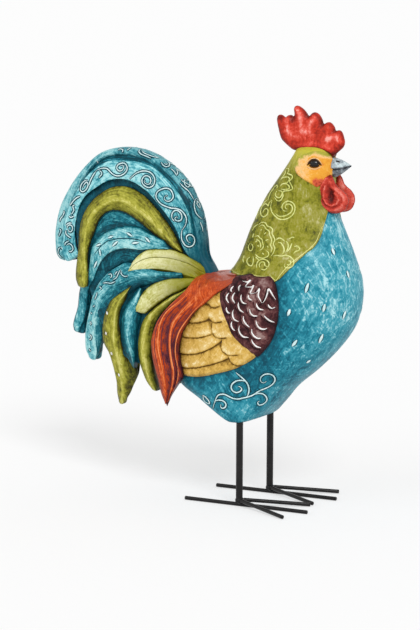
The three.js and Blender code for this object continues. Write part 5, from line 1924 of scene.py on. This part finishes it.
def scrolls_on(name, host, lines, slot, half_width=0.52):
    """Pale raised lines inside a wider dark wash."""
    lines_on(f"{name}_wash", host, lines, SCROLL_WASH, slot, half_width + 0.85, 0.16, taper=0.6)
    lines_on(name, host, lines, SCROLL_PALE, slot, half_width, 0.42)


scrolls_on("rim_scrolls", "rim", RIM_SCROLLS, "pale_teal_paint", 0.42)
scrolls_on("sickle_scrolls", "upper_sickle_feather_right", SICKLE_SCROLLS, "pale_teal_paint")
scrolls_on("covert_scrolls", "scrolled_covert_feather_right", SCROLLED_SCROLLS, "pale_teal_paint", 0.4)
lines_on("leafy_vine", "leafy_covert_feather_right", [LEAFY_VINE], SCROLL_WASH, "pale_teal_paint", 0.42, 0.2)
lines_on(
    "leafy_leaf_wash", "leafy_covert_feather_right", LEAFY_LEAVES, SCROLL_WASH, "pale_teal_paint", 1.5, 0.2,
    profile=SEED,
)
lines_on(
    "leafy_leaves", "leafy_covert_feather_right", LEAFY_LEAVES, SCROLL_PALE, "pale_teal_paint", 0.9, 0.4,
    profile=SEED,
)
covert_dots = [[(u - 0.5, v - 1.6), (u + 0.5, v + 1.6)] for u, v in COVERT_DOTS]
lines_on(
    "covert_dots", "olive_covert_feather_right", covert_dots, STROKE_WHITE, "olive_paint", 1.0, 0.5,
    profile=SEED,
)
lines_on("neck_lace", "neck", NECK_LACE, LACE_YELLOW, "olive_paint", 0.5, 0.36)
# A painted highlight along the cape's edge.
lines_on("cape_crest", "neck", [CAPE_CREST], CREST_GLEAM, "olive_paint", 0.36, 0.25)
scrolls_on("belly_vine", "body", BELLY_VINE, "teal_paint", 0.6)
seeds = [[(a, b), (c, d)] for a, b, c, d in BREAST_SEEDS]
lines_on("breast_seed_wash", "body", seeds, SCROLL_WASH, "teal_paint", 1.9, 0.2, profile=SEED)
lines_on("breast_seeds", "body", seeds, SCROLL_PALE, "teal_paint", 1.25, 0.5, profile=SEED)
lines_on(
    "shoulder_strokes", "shoulder_panel_right", SHOULDER_STROKES, STROKE_WHITE, "maroon_paint", 0.62, 0.42,
    profile=(0.25, 0.9, 1.0, 0.9, 0.35),
)
saddle_strands = [strand[STRAND_FROM:STRAND_TO] for strand in SADDLE_STRANDS]
lines_on(
    "saddle_strands", "saddle_half_right", saddle_strands, PURPLE_LINE, "orange_paint", 0.45, 0.2,
    profile=STRAND,
)
# Painted highlights along the saddle's ridges.
saddle_gleams = [
    [(u + 0.4, v - 0.5) for u, v in evenly_pixels(ridge, RAIL_STEPS)[STRAND_FROM:STRAND_TO]]
    for ridge in (RIDGE_1, RIDGE_2, RIDGE_3)
]
lines_on(
    "saddle_gleams", "saddle_half_right", saddle_gleams, ORANGE_GLEAM, "orange_paint", 0.5, 0.2,
    profile=STRAND,
)

# The floor, the light and the camera
FLOOR_HALF = 60
SENSOR_HEIGHT = 36
floor_shape = bmesh.new()
bmesh.ops.create_grid(floor_shape, x_segments=1, y_segments=1, size=FLOOR_HALF)
floor_mesh = bpy.data.meshes.new("floor")
floor_shape.to_mesh(floor_mesh)
floor_shape.free()
floor = add_object("floor", floor_mesh)


def floor_paper():
    """White paper: seen straight or in a reflection it is nearly white, and it keeps a soft shadow."""
    material = bpy.data.materials.new("floor_paper")
    material.use_nodes = True
    tree = material.node_tree
    tree.nodes.clear()
    path = tree.nodes.new("ShaderNodeLightPath")
    diffuse = tree.nodes.new("ShaderNodeBsdfDiffuse")
    diffuse.inputs["Color"].default_value = (0.96, 0.96, 0.96, 1)
    shine = tree.nodes.new("ShaderNodeEmission")
    shine.inputs["Color"].default_value = (1, 1, 1, 1)
    shine.inputs["Strength"].default_value = 1.0
    blend = tree.nodes.new("ShaderNodeMixShader")
    seen = math_node(tree, "MAXIMUM", path.outputs["Is Camera Ray"], path.outputs["Is Glossy Ray"])
    seen = math_node(tree, "MAXIMUM", seen, path.outputs["Is Transmission Ray"])
    tree.links.new(math_node(tree, "MULTIPLY", seen, 0.5), blend.inputs["Fac"])
    tree.links.new(diffuse.outputs[0], blend.inputs[1])
    tree.links.new(shine.outputs[0], blend.inputs[2])
    output = tree.nodes.new("ShaderNodeOutputMaterial")
    tree.links.new(blend.outputs[0], output.inputs["Surface"])
    return material


floor_mesh.materials.append(floor_paper())

scene = bpy.context.scene
world = bpy.data.worlds.new("studio")
scene.world = world
world.use_nodes = True
sky = world.node_tree
sky_path = sky.nodes.new("ShaderNodeLightPath")
sky_seen = math_node(sky, "MAXIMUM", sky_path.outputs["Is Camera Ray"], sky_path.outputs["Is Glossy Ray"])
SKY_LEVEL = 0.62
sky_strength = math_node(sky, "ADD", math_node(sky, "MULTIPLY", sky_seen, 1 - SKY_LEVEL), SKY_LEVEL)
sky.nodes["Background"].inputs["Color"].default_value = (1, 1, 1, 1)
sky.links.new(sky_strength, sky.nodes["Background"].inputs["Strength"])


def sun(name, strength, spread, azimuth, elevation):
    """A soft lamp that shines from a direction given as the camera's is."""
    lamp = bpy.data.lights.new(name, "SUN")
    lamp.energy = strength
    lamp.angle = math.radians(spread)
    a, e = math.radians(azimuth), math.radians(elevation)
    source = Vector((math.sin(a) * math.cos(e), -math.cos(a) * math.cos(e), math.sin(e)))
    add_object(name, lamp).rotation_euler = source.to_track_quat("Z", "Y").to_euler()


sun("key", strength=1.5, spread=22, azimuth=40, elevation=40)
sun("fill", strength=0.4, spread=40, azimuth=-40, elevation=35)

camera_data = bpy.data.cameras.new("camera")
camera_data.sensor_fit = "VERTICAL"
camera_data.sensor_height = SENSOR_HEIGHT
camera_data.lens = SENSOR_HEIGHT * PIXELS_AWAY / PHOTO_HEIGHT
camera = add_object("camera", camera_data)
scene.camera = camera
camera.matrix_world = (
    PLACE @ Matrix.Translation(LENS_AT) @ Matrix((RIGHT, UP, BACK)).transposed().to_4x4()
)
camera.scale = (1, 1, 1)

scene.view_settings.view_transform = "Standard"
